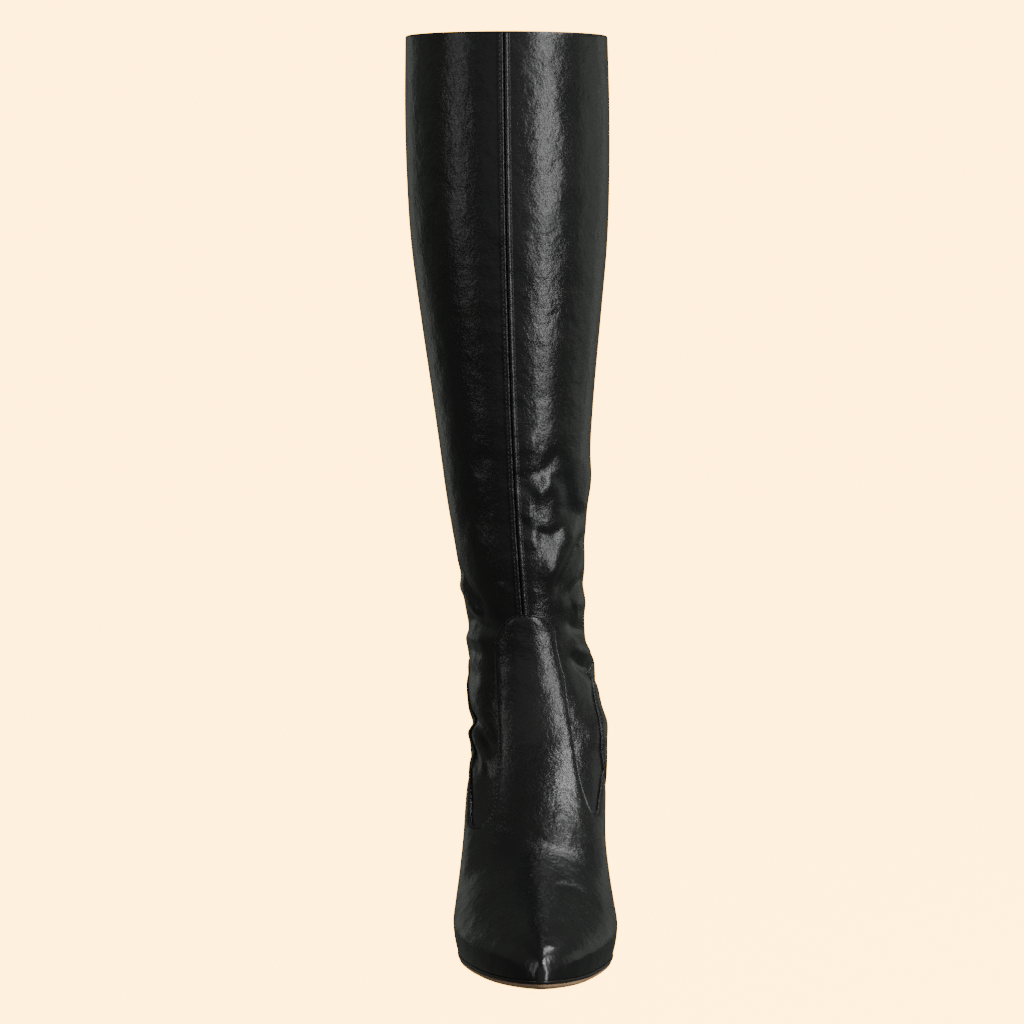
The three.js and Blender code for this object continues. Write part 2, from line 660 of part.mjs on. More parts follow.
// Heel: tapers from the seat to its tip
function heel() {
  const seatDrop = gap + edgeThickness + 1.5 * gap; // its top is flat, the layer over it slightly curved
  const top = (y) => featherHeight(y) - seatDrop;
  const bottom = liftThickness + gap;
  const topBack = foot[heelSection].baseY + edgeReach - outsoleInset;
  const topHalf = foot[heelSection - 2].soleIn + edgeReach - outsoleInset;
  const tipFront = heelTipPlace * backLength - heelTipLength / 2;
  const tipBack = tipFront + heelTipLength;
  const mix = THREE.MathUtils.lerp;
  const rings = named(heelColumns, heelRows).map(({ down, breast, back, width }) => heelRing(
    mix(heelBreast * backLength, tipFront, breast),
    mix(topBack, tipBack, back),
    mix(heelTipWidth / 2, topHalf, width),
    (y) => mix(top(y), bottom, down),
  ));
  return capped(rings);
}

// Top lift: the heel's tip carried down to the floor
function topLift() {
  const tipFront = heelTipPlace * backLength - heelTipLength / 2;
  return capped([liftThickness, 0].map((z) => heelRing(
    tipFront, tipFront + heelTipLength, heelTipWidth / 2, () => z)));
}

// A solid through rings given from the top down, closed at both ends
function capped(rings) {
  const count = rings[0].length;
  return tube(rings.flat(), rings.length, [...Array(count).keys()], count);
}

// A named mesh out of a solid
function mesh(name, made, look) {
  const { vertProperties, triVerts } = made.getMesh();
  const geometry = new THREE.BufferGeometry();
  geometry.setAttribute("position", new THREE.BufferAttribute(new Float32Array(vertProperties), 3));
  geometry.setIndex(new THREE.BufferAttribute(new Uint32Array(triVerts), 1));
  geometry.computeVertexNormals();
  const result = new THREE.Mesh(geometry, new THREE.MeshStandardMaterial(look));
  result.name = name;
  return result;
}

const boot = new THREE.Group();
boot.add(mesh("upper", upper(), leather));
boot.add(mesh("vamp", vamp(), leather));
boot.add(mesh("counter", counter(), leather));
boot.add(mesh("front_seam", frontSeam(), leather));
boot.add(mesh("insole", insole(), sockLeather));
boot.add(mesh("sole_edge", soleEdgeLayer(), edgePaint));
boot.add(mesh("outsole", outsole(), tanLeather));
boot.add(mesh("heel", heel(), coveredLeather));
boot.add(mesh("top_lift", topLift(), hardRubber));

export default boot;
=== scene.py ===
import math

import bmesh
import bpy
import numpy as np
from mathutils import Matrix, Vector
from mathutils.kdtree import KDTree


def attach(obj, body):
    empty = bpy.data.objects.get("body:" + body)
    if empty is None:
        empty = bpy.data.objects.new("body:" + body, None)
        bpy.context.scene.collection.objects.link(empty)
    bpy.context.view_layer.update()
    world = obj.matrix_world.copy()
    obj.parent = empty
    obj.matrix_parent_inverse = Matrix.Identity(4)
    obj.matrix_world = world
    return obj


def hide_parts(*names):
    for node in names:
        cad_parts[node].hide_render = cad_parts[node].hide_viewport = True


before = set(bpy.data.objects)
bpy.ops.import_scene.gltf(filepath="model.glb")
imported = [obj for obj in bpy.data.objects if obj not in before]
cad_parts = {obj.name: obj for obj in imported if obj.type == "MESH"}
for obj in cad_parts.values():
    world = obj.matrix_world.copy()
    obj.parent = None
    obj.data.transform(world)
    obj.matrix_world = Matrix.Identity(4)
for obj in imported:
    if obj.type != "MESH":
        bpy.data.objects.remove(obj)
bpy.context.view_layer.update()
mm = 0.001

# The boot's own sizes in metres, as the CAD solids have them
boot = {
    "toeLength": 0.088,
    "backLength": 0.150,
    "ballWidth": 0.084,
    "featherWidth": 0.078,
    "footDepth": 0.050,
    "heelHeight": 0.095,
    "toeSpring": 0.004,
    "ankleRise": 0.080,
    "ankleWidth": 0.066,
    "calfWidth": 0.112,
    "calfDepth": 0.120,
    "bootHeight": 0.490,
    "legLean": 0.0185,
    "soleTop": 0.0049,  # foot of the upper above the floor, at the ball
    "legPlace": 0.64,  # middle of the leg, as a share of backLength
}
seatLevel = boot["soleTop"] + boot["heelHeight"]
ankleLevel = seatLevel + boot["ankleRise"]
legPlace = boot["legPlace"] * boot["backLength"]

# Sections of the foot from the toe tip to the back of the heel, as shares of the sizes above
footColumns = "place spring rise soleIn soleOut crown lift depth wideIn wideOut shift belly low top bow"
footRows = [
    [-1, 1, 0, 0, 0, -0.985, 0, 0.22, 0, 0, 0.04, 0.4, 1.5, 2, 0],
    [-0.975, 0.92, 0, 0.055, 0.055, -0.945, 0, 0.29, 0.058, 0.058, 0.039, 0.4, 1.5, 2, 0],
    [-0.91, 0.74, 0, 0.13, 0.135, -0.87, 0, 0.38, 0.133, 0.135, 0.036, 0.4, 1.5, 1.85, 0],
    [-0.8, 0.48, 0, 0.22, 0.225, -0.76, 0, 0.455, 0.222, 0.226, 0.031, 0.4, 1.5, 1.7, 0],
    [-0.66, 0.24, 0, 0.305, 0.31, -0.62, 0, 0.525, 0.304, 0.31, 0.023, 0.38, 1.5, 1.6, 0],
    [-0.5, 0.08, 0, 0.38, 0.385, -0.465, 0, 0.6, 0.378, 0.384, 0.014, 0.36, 1.5, 1.6, 0],
    [-0.32, 0, 0, 0.448, 0.452, -0.29, 0, 0.695, 0.446, 0.45, 0.005, 0.34, 1.5, 1.65, 0],
    [-0.14, 0, 0, 0.49, 0.494, -0.13, 0, 0.8, 0.488, 0.492, -0.003, 0.33, 1.5, 1.7, 0],
    [0.03, 0, 0, 0.498, 0.504, 0.01, 0, 0.91, 0.499, 0.505, -0.009, 0.33, 1.5, 1.75, 0],
    [0.135, 0, 0.012, 0.472, 0.495, 0.105, 0.03, 1.03, 0.486, 0.498, -0.012, 0.35, 1.5, 1.8, 0],
    [0.25, 0, 0.085, 0.405, 0.46, 0.2, 0.15, 1.12, 0.46, 0.474, -0.017, 0.39, 1.5, 1.85, 0.04],
    [0.36, 0, 0.215, 0.34, 0.415, 0.275, 0.3, 1.14, 0.44, 0.452, -0.021, 0.42, 1.5, 1.9, 0.1],
    [0.48, 0, 0.4, 0.298, 0.365, 0.325, 0.45, 1.16, 0.435, 0.443, -0.017, 0.46, 1.5, 1.9, 0.18],
    [0.6, 0, 0.6, 0.295, 0.34, 0.355, 0.6, 1.13, 0.433, 0.435, -0.005, 0.5, 1.5, 1.9, 0.28],
    [0.72, 0, 0.785, 0.322, 0.335, 0.375, 0.74, 1.11, 0.43, 0.43, 0, 0.53, 1.5, 1.95, 0.38],
    [0.84, 0, 0.9, 0.322, 0.322, 0.385, 0.87, 1.12, 0.424, 0.424, 0, 0.56, 1.5, 1.95, 0.46],
    [0.93, 0, 0.955, 0.235, 0.235, 0.39, 0.95, 1.16, 0.418, 0.418, 0, 0.57, 1.45, 2, 0.5],
    [0.975, 0, 0.975, 0, 0, 0.39, 0.985, 1.29, 0.41, 0.41, 0, 0.57, 1.95, 2, 0.5],
]
ankleColumns = "backUp back frontUp crown wideIn wideOut belly low bow"
ankleRows = [
    [0.1, 1, 0.87, 0.389, 0.515, 0.515, 0.56, 1.75, 0.44],
    [0.3, 0.99, 0.97, 0.385, 0.503, 0.503, 0.54, 1.7, 0.34],
    [0.53, 0.963, 1.08, 0.377, 0.495, 0.495, 0.52, 1.7, 0.22],
    [0.75, 0.943, 1.2, 0.369, 0.503, 0.503, 0.5, 1.8, 0.11],
    [0.98, 0.935, 1.34, 0.361, 0.522, 0.522, 0.5, 1.9, 0.04],
]
legColumns = "backUp back frontUp front wideIn wideOut belly"
legRows = [
    [0.065, 0.75, 0.15, 0.717, 0.324, 0.324, 0.5],
    [0.16, 0.787, 0.225, 0.758, 0.35, 0.35, 0.5],
    [0.265, 0.85, 0.305, 0.797, 0.374, 0.374, 0.5],
    [0.38, 0.908, 0.403, 0.845, 0.405, 0.405, 0.5],
    [0.51, 0.967, 0.52, 0.903, 0.445, 0.445, 0.5],
    [0.64, 1.005, 0.642, 0.957, 0.482, 0.482, 0.5],
    [0.76, 1.008, 0.76, 0.987, 0.497, 0.497, 0.5],
    [0.88, 0.975, 0.88, 1.012, 0.5, 0.5, 0.5],
    [1, 0.908, 1, 1.033, 0.493, 0.493, 0.5],
]
# How far the leg leans to the outer side, as a share of legLean, at shares of the boot's height
leanRows = [
    [0.2, 0], [0.225, 0.05], [0.249, 0.15], [0.273, 0.255], [0.298, 0.335], [0.322, 0.39], [0.363, 0.475],
    [0.408, 0.56], [0.459, 0.65], [0.557, 0.77], [0.714, 0.895], [0.878, 0.97], [1, 1],
]


def readTable(columns, rows):
    return dict(zip(columns.split(), np.array(rows, float).T))


def along(share):
    return share * np.where(share < 0, boot["toeLength"], boot["backLength"])


foot = readTable(footColumns, footRows)
ankle = readTable(ankleColumns, ankleRows)
leg = readTable(legColumns, legRows)
legRise = boot["bootHeight"] - ankleLevel
footLevel = boot["soleTop"] + foot["spring"] * boot["toeSpring"] + foot["rise"] * boot["heelHeight"]
crownLevel = boot["soleTop"] + foot["lift"] * boot["heelHeight"] + foot["depth"] * boot["footDepth"]
plain = np.ones(len(legRows))
legHalf = boot["calfDepth"] / 2
ankleBack, ankleFront = (seatLevel + ankle[name] * boot["ankleRise"] for name in ("backUp", "frontUp"))
legBack, legFront = (ankleLevel + leg[name] * legRise for name in ("backUp", "frontUp"))
widths = [(foot, "ballWidth"), (ankle, "ankleWidth"), (leg, "calfWidth")]
sections = {
    "baseY": [along(foot["place"]), ankle["back"] * boot["backLength"], legPlace + leg["back"] * legHalf],
    "baseZ": [footLevel, ankleBack, legBack],
    "crownY": [along(foot["crown"]), ankle["crown"] * boot["backLength"], legPlace - leg["front"] * legHalf],
    "crownZ": [crownLevel, ankleFront, legFront],
    "wideIn": [rows["wideIn"] * boot[name] for rows, name in widths],
    "wideOut": [rows["wideOut"] * boot[name] for rows, name in widths],
    "shift": [foot["shift"] * boot["ballWidth"], 0 * ankle["belly"], 0 * plain],
    "belly": [foot["belly"], ankle["belly"], leg["belly"]],
    "low": [foot["low"], ankle["low"], 2 * plain],
    "top": [foot["top"], 2 * np.ones(len(ankleRows)), 2 * plain],
    "bow": [foot["bow"], ankle["bow"], 0 * plain],
}
sections = {name: np.concatenate(parts) for name, parts in sections.items()}
soleHalf = {"in": foot["soleIn"] * boot["featherWidth"], "out": foot["soleOut"] * boot["featherWidth"]}
heelSection = len(footRows) - 1
collarSection = len(sections["baseY"]) - 1
lowShare = 5 / 13  # part of t below a section's widest place
crownRound = 0.24  # how far the ridge of a pointed section is rounded, as a share of its half width


# A smooth curve through a column, mirrored past its ends with fold 1 or -1
def through(values, s, fold=0):
    last = len(values) - 1
    i = np.clip(np.floor(s).astype(int), 0, last - 1)
    f = s - i

    def value(k):
        inside = values[np.clip(k, 0, last)]
        mirrored = values[np.clip(np.where(k > last, 2 * last - k, np.abs(k)), 0, last)]
        return np.where((k < 0) | (k > last), fold * mirrored, inside) if fold else inside

    a, b, c, d = (value(i + k) for k in (-1, 0, 1, 2))
    return b + 0.5 * f * (c - a + f * (2 * a - 5 * b + 4 * c - d + f * (3 * (b - c) + d - a)))


def read(name, s, fold=0):
    plainly = through(sections[name], s)
    return np.where(s < 1, through(sections[name], s, fold), plainly) if fold else plainly


soleSteps = np.linspace(0, heelSection, 1200)
solePlaces = through(along(foot["place"]), soleSteps, 1)
soleHeights = through(footLevel, soleSteps)


# How far a height leans to the outer side
def leanAt(z):
    share, lean = np.array(leanRows).T
    slopes = np.gradient(lean, share)
    slopes[0] = 0
    at = np.clip(z / boot["bootHeight"], share[0], share[-1])
    k = np.clip(np.searchsorted(share, at) - 1, 0, len(share) - 2)
    width = share[k + 1] - share[k]
    f = (at - share[k]) / width
    rise = lean[k] * (1 + 2 * f) * (1 - f) ** 2 + lean[k + 1] * f * f * (3 - 2 * f)
    turn = slopes[k] * f * (1 - f) ** 2 - slopes[k + 1] * f * f * (1 - f)
    return -boot["legLean"] * (rise + width * turn)


def leant(points):
    moved = points.copy()
    moved[..., 0] += leanAt(points[..., 2])
    return moved


# Height of the foot of the upper at a place along the foot
def featherHeight(y):
    ahead = (soleHeights[40] - soleHeights[0]) / (solePlaces[40] - solePlaces[0])
    behind = (soleHeights[-1] - soleHeights[-40]) / (solePlaces[-1] - solePlaces[-40])
    inside = np.interp(y, solePlaces, soleHeights)
    inside = np.where(y < solePlaces[0], soleHeights[0] + (y - solePlaces[0]) * ahead, inside)
    return np.where(y > solePlaces[-1], soleHeights[-1] + (y - solePlaces[-1]) * behind, inside)


# Points of the bare outer face: t runs from -1 at the inner foot of a section over 0 at its crown to 1
def bareSkin(s, t):
    s, t = np.broadcast_arrays(np.asarray(s, float), np.asarray(t, float))
    onSole = s <= heelSection
    atSole = np.minimum(s, heelSection)
    baseY = np.where(onSole, through(along(foot["place"]), atSole, 1), read("baseY", s))
    baseZ = np.where(onSole, featherHeight(baseY), read("baseZ", s))
    inner = t < 0
    half = np.where(inner, through(soleHalf["in"], atSole, -1), through(soleHalf["out"], atSole, -1))
    half = np.where(onSole, half, 0)
    wide = np.where(inner, read("wideIn", s, -1), read("wideOut", s, -1))
    climb = 1 - np.abs(t)
    belly, low, top = read("belly", s), read("low", s), read("top", s)
    under = np.clip(climb / lowShare, 0, 1) * math.pi / 2
    over = np.clip((climb - lowShare) / (1 - lowShare), 0, 1) * math.pi / 2
    lowUp = belly * (1 - np.maximum(np.cos(under), 0) ** (2 / low))
    lowAcross = half + (wide - half) * np.sin(under) ** (2 / low)
    share = np.maximum(np.cos(over), 0) ** (2 / top)
    drop = ((share ** 2 + crownRound ** 2) ** (top / 2) - crownRound ** top)
    drop = drop / ((1 + crownRound ** 2) ** (top / 2) - crownRound ** top)
    topUp = belly + (1 - belly) * np.maximum(1 - drop, 0) ** (1 / top)
    topAcross = wide * share
    up = np.where(climb < lowShare, lowUp, topUp)
    across = np.where(climb < lowShare, lowAcross, topAcross)
    bend = read("bow", s) * up * (1 - up)
    return np.stack([
        read("shift", s, 1) + np.where(inner, across, -across),
        baseY + (up - bend) * (read("crownY", s, 1) - baseY),
        baseZ + (up + bend) * (read("crownZ", s, 1) - baseZ),
    ], axis=-1)


def unit(v):
    return v / np.maximum(np.linalg.norm(v, axis=-1, keepdims=True), 1e-12)


def ease(x):
    x = np.clip(x, 0, 1)
    return x * x * (3 - 2 * x)


# Outward directions, turned level along the sole so that what stands off the upper keeps to the sole's face
def outward(s, t, surface=bareSkin):
    step = 0.004
    s = np.maximum(s, 0.03)
    alongS = surface(np.minimum(s + step, collarSection), t) - surface(s - step, t)
    alongT = surface(s, np.minimum(t + step, 1)) - surface(s, np.maximum(t - step, -1))
    normal = unit(np.cross(alongS, alongT))
    level = ease((np.abs(t) - 0.9) / 0.1) * ease((heelSection + 0.5 - s) / 0.5)
    normal[..., 2] *= 1 - level
    return unit(normal)


# Creases of the leather, each a line through places s, t with its depth and half width in millimetres
creases = [
    (-1.95, 4.5, (22.19, 0.718), (22.06, 0.518), (21.69, 0.459), (20.85, 0.385), (19.90, 0.315),
     (19.05, 0.217)),
    (1.43, 4.2, (21.89, 0.774), (21.60, 0.574), (20.76, 0.466), (19.77, 0.371), (18.94, 0.304)),
    (-2.47, 4.3, (19.77, 0.665), (19.57, 0.466), (19.00, 0.367), (18.43, 0.238), (18.30, 0.112)),
    (1.3, 3.4, (18.97, 0.704), (18.63, 0.504), (17.66, 0.343), (17.17, 0.266)),
    (-1.17, 2.6, (17.63, 0.683), (17.39, 0.483), (16.71, 0.399), (16.29, 0.298)),
    (-1.17, 5.0, (16.60, 0.746), (16.34, 0.546), (15.59, 0.445), (14.93, 0.336)),
    (-2.99, 4.8, (14.33, 0.760), (14.11, 0.560), (13.50, 0.431), (12.82, 0.343), (12.00, 0.266)),
    (1.69, 4.0, (14.02, 0.778), (13.74, 0.578), (12.93, 0.420), (12.09, 0.326), (11.45, 0.273)),
    (-1.04, 3.0, (13.20, 0.714), (12.99, 0.514), (12.40, 0.448), (11.67, 0.354)),
    (1.69, 12.0, (24.41, -0.756), (24.26, -0.556), (23.84, -0.469), (23.49, -0.452)),
    (2.08, 6.0, (23.47, -0.434), (23.12, -0.364), (22.63, -0.297), (22.15, -0.245), (21.45, -0.200),
     (20.59, -0.168)),
    (-2.47, 5.0, (23.07, -0.722), (22.94, -0.521), (22.57, -0.445), (22.08, -0.371), (21.45, -0.308),
     (20.61, -0.252), (19.82, -0.200)),
    (-1.82, 4.0, (21.93, -0.732), (21.78, -0.532), (21.34, -0.448), (20.78, -0.367), (20.12, -0.290)),
    (1.17, 5.0, (21.06, -0.746), (20.89, -0.546), (20.41, -0.430), (20.04, -0.385)),
    (-1.95, 4.2, (19.04, -0.697), (18.94, -0.497), (18.65, -0.413), (18.74, -0.346), (19.11, -0.283)),
    (2.47, 5.2, (17.40, -0.686), (17.26, -0.486), (16.87, -0.392), (16.98, -0.336), (17.50, -0.304)),
    (-2.86, 4.4, (16.18, -0.718), (16.14, -0.518), (16.03, -0.445), (16.14, -0.360), (16.43, -0.283)),
    (1.82, 8.0, (14.24, -0.732), (14.00, -0.532), (13.34, -0.455), (12.93, -0.486)),
    (-1.43, 5.0, (24.81, -0.280), (24.51, -0.217), (24.24, -0.157), (24.00, -0.094)),
    (1.04, 5.0, (23.65, -0.094), (23.87, -0.140), (24.02, -0.189), (24.22, -0.234)),
    (0.78, 4.0, (23.18, -0.035), (23.27, -0.070), (23.29, -0.108)),
    (-1.17, 3.0, (22.96, -0.115), (22.85, -0.147), (22.79, -0.189), (22.88, -0.241), (23.03, -0.280)),
    (0.65, 4.0, (22.48, -0.031), (22.59, -0.077), (22.59, -0.133)),
    (-1.17, 6.0, (24.42, -0.283), (24.02, -0.319), (23.65, -0.340), (23.29, -0.353)),
    (0.65, 5.0, (24.90, -0.035), (24.84, -0.084), (24.88, -0.133)),
    (-0.78, 6.0, (24.33, -0.042), (24.02, -0.059), (23.71, -0.049)),
    (0.455, 2.2, (20.98, 0.129), (20.67, 0.112), (20.26, 0.095)),
    (-0.52, 7.0, (23.65, 0.312), (23.38, 0.231), (23.23, 0.143)),
    (0.52, 8.0, (23.05, 0.371), (22.68, 0.276), (22.46, 0.185)),
    (-0.52, 6.0, (24.84, 0.140), (24.48, 0.175), (24.11, 0.189)),
    (-0.364, 1.2, (6.56, -0.266), (6.61, -0.301), (6.54, -0.353)),
    (-0.364, 1.2, (5.02, -0.280), (5.00, -0.343), (4.98, -0.441)),
    (-0.286, 1.1, (4.21, -0.266), (4.25, -0.304), (4.25, -0.357)),
    (-0.455, 4.0, (6.32, -0.091), (6.94, -0.196), (6.89, -0.315), (6.56, -0.406)),
]


def creaseLines():
    lines = []
    for depth, width, *places in creases:
        s, t = np.array(places, float).T
        steps = np.linspace(0, len(places) - 1, 40)
        path = bareSkin(through(s, steps), through(t, steps))
        lines.append((depth * mm, width * mm, path))
    return lines


creasePaths = creaseLines()


def creaseHeight(points):
    flat = points.reshape(-1, 3)
    height = np.zeros(len(flat))
    for depth, width, path in creasePaths:
        low, high = path.min(axis=0) - 3 * width, path.max(axis=0) + 3 * width
        near = np.nonzero(((flat > low) & (flat < high)).all(axis=1))[0]
        a, b = path[:-1], path[1:]
        run = b - a
        rel = flat[near][:, None, :] - a[None]
        f = np.clip((rel * run).sum(-1) / (run * run).sum(-1), 0, 1)
        gap = np.linalg.norm(rel - f[..., None] * run, axis=-1)
        best = gap.argmin(axis=1)
        pick = np.arange(len(near))
        place = (best + f[pick, best]) / len(run)
        taper = ease(place / 0.3) * ease((1 - place) / 0.3)
        height[near] += depth * taper * np.exp(-((gap[pick, best] / width) ** 2))
    return height.reshape(points.shape[:-1])


# Points of the creased outer face, standing off it by a distance
def skin(s, t, distance=0.0):
    points = bareSkin(s, t)
    rise = creaseHeight(points) + distance
    return leant(points + outward(s, t) * rise[..., None])


def surfaceObject(name, mesh, angle=50):
    data = bpy.data.meshes.new(name)
    bmesh.ops.recalc_face_normals(mesh, faces=mesh.faces)
    mesh.to_mesh(data)
    mesh.free()
    for face in data.polygons:
        face.use_smooth = True
    data.set_sharp_from_angle(angle=math.radians(angle))
    made = bpy.data.objects.new(name, data)
    bpy.context.scene.collection.objects.link(made)
    print(name, len(data.vertices), "vertices", len(data.polygons), "faces")
    return made


# A sheet of faces whose corners are placed by a function of u and v, both from 0 to 1
def sheet(columns, rows, place, weld=0.02 * mm):
    mesh = bmesh.new()
    sLayer = mesh.verts.layers.float.new("s")
    tLayer = mesh.verts.layers.float.new("t")
    bmesh.ops.create_grid(mesh, x_segments=columns, y_segments=rows, size=1)
    uv = np.array([v.co.xy for v in mesh.verts]) / 2 + 0.5
    points, s, t = place(uv[:, 0], uv[:, 1])
    for vert, point, a, b in zip(mesh.verts, points, s, t):
        vert.co = point
        vert[sLayer], vert[tLayer] = a, b
    if weld:
        bmesh.ops.remove_doubles(mesh, verts=mesh.verts, dist=weld)
    return mesh


# Evenly spaced section numbers between two others, by length down the side of the boot
def evenSections(first, last, spacing):
    s = np.linspace(first, last, 2000)
    side = bareSkin(s, np.full(len(s), 0.75))
    run = np.concatenate([[0], np.cumsum(np.linalg.norm(np.diff(side, axis=0), axis=1))])
    count = max(int(run[-1] / spacing), 1)
    return np.interp(np.linspace(0, run[-1], count + 1), run, s)


def evenAcross(count):
    low = int(count * 0.46)
    lower = np.linspace(0, lowShare, low, endpoint=False)
    half = np.concatenate([lower, np.linspace(lowShare, 1, count - low + 1)])
    return np.concatenate([half - 1, 1 - half[-2::-1]])


# Smooth curve through points of a drawn outline
def drawn(points, steps=6):
    points = np.array(points, float)
    s = np.linspace(0, len(points) - 1, (len(points) - 1) * steps + 1)
    return np.stack([through(points[:, k], s) for k in range(2)], axis=-1)


# Distance from points to a closed outline in its plane, less than 0 inside
def outlineDistance(outline, points):
    a, b = outline, np.roll(outline, -1, axis=0)
    run = b - a
    keep = (run * run).sum(-1) > 0
    a, b, run = a[keep], b[keep], run[keep]
    best = np.full(len(points), 1e9)
    inside = np.zeros(len(points), bool)
    for p, q, r in zip(a, b, run):
        rel = points - p
        f = np.clip((rel @ r) / (r @ r), 0, 1)
        best = np.minimum(best, np.linalg.norm(rel - f[:, None] * r, axis=1))
        if p[1] != q[1]:
            crosses = (p[1] > points[:, 1]) != (q[1] > points[:, 1])
            x = p[0] + (points[:, 1] - p[1]) * r[0] / r[1]
            inside ^= crosses & (points[:, 0] < x)
    return np.where(inside, -best, best)


# Edge of the tongue seen from the front: its height, and how far it lies to the outer and the inner side
tongueEdge = [
    (0.99, 0, 0), (0.985, 0.068, 0.106), (0.975, 0.114, 0.156), (0.963, 0.15, 0.195), (0.945, 0.195, 0.236),
    (0.92, 0.232, 0.264), (0.885, 0.253, 0.28), (0.834, 0.264, 0.292), (0.77, 0.275, 0.298),
    (0.695, 0.296, 0.296), (0.611, 0.322, 0.298), (0.556, 0.335, 0.308), (0.489, 0.346, 0.342),
    (0.445, 0.356, 0.376), (0.406, 0.374, 0.415), (0.37, 0.41, 0.47), (0.345, 0.46, 0.54), (0.32, 0.56, 0.62),
    (0.25, 0.62, 0.66),
]
wingEdge = [(0.1, 0.42), (0.16, 0.38), (0.2, 0.36), (0.253, 0.352), (0.307, 0.38), (0.347, 0.425), (0.4, 0.478),
            (0.437, 0.509)]
counterEdge = [(0.437, 0.509), (0.453, 0.598), (0.52, 0.693), (0.587, 0.756), (0.667, 0.8), (0.8, 0.85),
               (0.933, 0.885), (1.1, 0.905)]
sideSeamFoot = (0.5, 0.2)
counterBack = 12 * mm
sideScale = np.array([boot["backLength"], ankleLevel])
frontScale = np.array([boot["ankleWidth"], ankleLevel])


def vampOutlines():
    wing = drawn(wingEdge) * sideScale
    seamFoot = np.array(sideSeamFoot) * sideScale
    side = np.vstack([
        [-0.2, -0.1], [seamFoot[0], -0.1], seamFoot, wing[::-1], [-0.2, wing[0][1]],
    ])
    height, outer, inner = np.array(tongueEdge).T
    outerSide = drawn(np.column_stack([-outer, height])) * frontScale
    innerSide = drawn(np.column_stack([inner, height])) * frontScale
    front = np.vstack([outerSide, innerSide[:0:-1]])
    return side, front


vampSide, vampFront = vampOutlines()
counterLine = drawn(counterEdge) * sideScale + [0.3 * mm, 0]
counterSide = np.vstack([
    np.array(sideSeamFoot) * sideScale + [0.3 * mm, 0], [0.3, sideSeamFoot[1] * ankleLevel],
    [0.3, ankleLevel], counterLine[::-1],
])


# How far points are outside the vamp's pattern: its wings seen from the side joined to its tongue
def outsideVamp(s, t):
    points = bareSkin(s, t)
    wing = outlineDistance(vampSide, points[:, 1:])
    tongue = outlineDistance(vampFront, points[:, ::2])
    tongue = np.maximum(tongue, points[:, 1] - wingEdge[-1][0] * boot["backLength"])
    blend = 3 * mm
    return -blend * np.logaddexp(-wing / blend, -tongue / blend)


# The same for the counter, which starts further back over the ankle on the outer side
def outsideCounter(s, t):
    points = bareSkin(s, t)[:, 1:]
    points[:, 0] -= np.where(t > 0, counterBack * ease((points[:, 1] - 0.092) / 0.03), 0)
    return outlineDistance(counterSide, points)


def layers(mesh):
    return mesh.verts.layers.float["s"], mesh.verts.layers.float["t"]


# Splits a mesh's edges where a measure of its corners passes a level, and joins the new corners up
def cutWhere(mesh, values, level, refine=None):
    sLayer, tLayer = layers(mesh)
    mesh.verts.index_update()
    crossing = []
    for edge in mesh.edges:
        a, b = edge.verts
        va, vb = values[a.index] - level, values[b.index] - level
        if va * vb < 0:
            crossing.append((edge, va / (va - vb)))
    near = np.array([f for _, f in crossing])
    if refine is not None and crossing:
        sa = np.array([e.verts[0][sLayer] for e, _ in crossing])
        ta = np.array([e.verts[0][tLayer] for e, _ in crossing])
        sb = np.array([e.verts[1][sLayer] for e, _ in crossing])
        tb = np.array([e.verts[1][tLayer] for e, _ in crossing])
        startsIn = np.array([values[e.verts[0].index] < level for e, _ in crossing])
        low, high = np.zeros(len(near)), np.ones(len(near))
        for _ in range(14):
            middle = (low + high) / 2
            isIn = refine(sa + (sb - sa) * middle, ta + (tb - ta) * middle) < level
            low = np.where(isIn == startsIn, middle, low)
            high = np.where(isIn == startsIn, high, middle)
        near = (low + high) / 2
    line = []
    for (edge, _), f in zip(crossing, near):
        f = min(max(float(f), 0.02), 0.98)
        a, b = edge.verts
        s, t = a[sLayer] + (b[sLayer] - a[sLayer]) * f, a[tLayer] + (b[tLayer] - a[tLayer]) * f
        _, vert = bmesh.utils.edge_split(edge, a, f)
        vert[sLayer], vert[tLayer] = s, t
        line.append(vert)
    bmesh.ops.connect_verts(mesh, verts=line)
    return line


def readLayers(mesh):
    sLayer, tLayer = layers(mesh)
    return np.array([[v[sLayer], v[tLayer]] for v in mesh.verts]).T


# Height of an overlay's face over the upper by how far in from its edge it is, in millimetres
overlayProfile = {
    "in": [0, 0.15, 0.35, 0.7, 1.05, 1.35, 1.7, 2.3, 4.0],
    "height": [0.45, 0.85, 1.05, 1.12, 0.98, 0.78, 1.0, 1.28, 1.5],
    "stitchLine": 1.35,
    "foot": -0.1,  # where the turned-down edge ends, just inside the upper's face
}


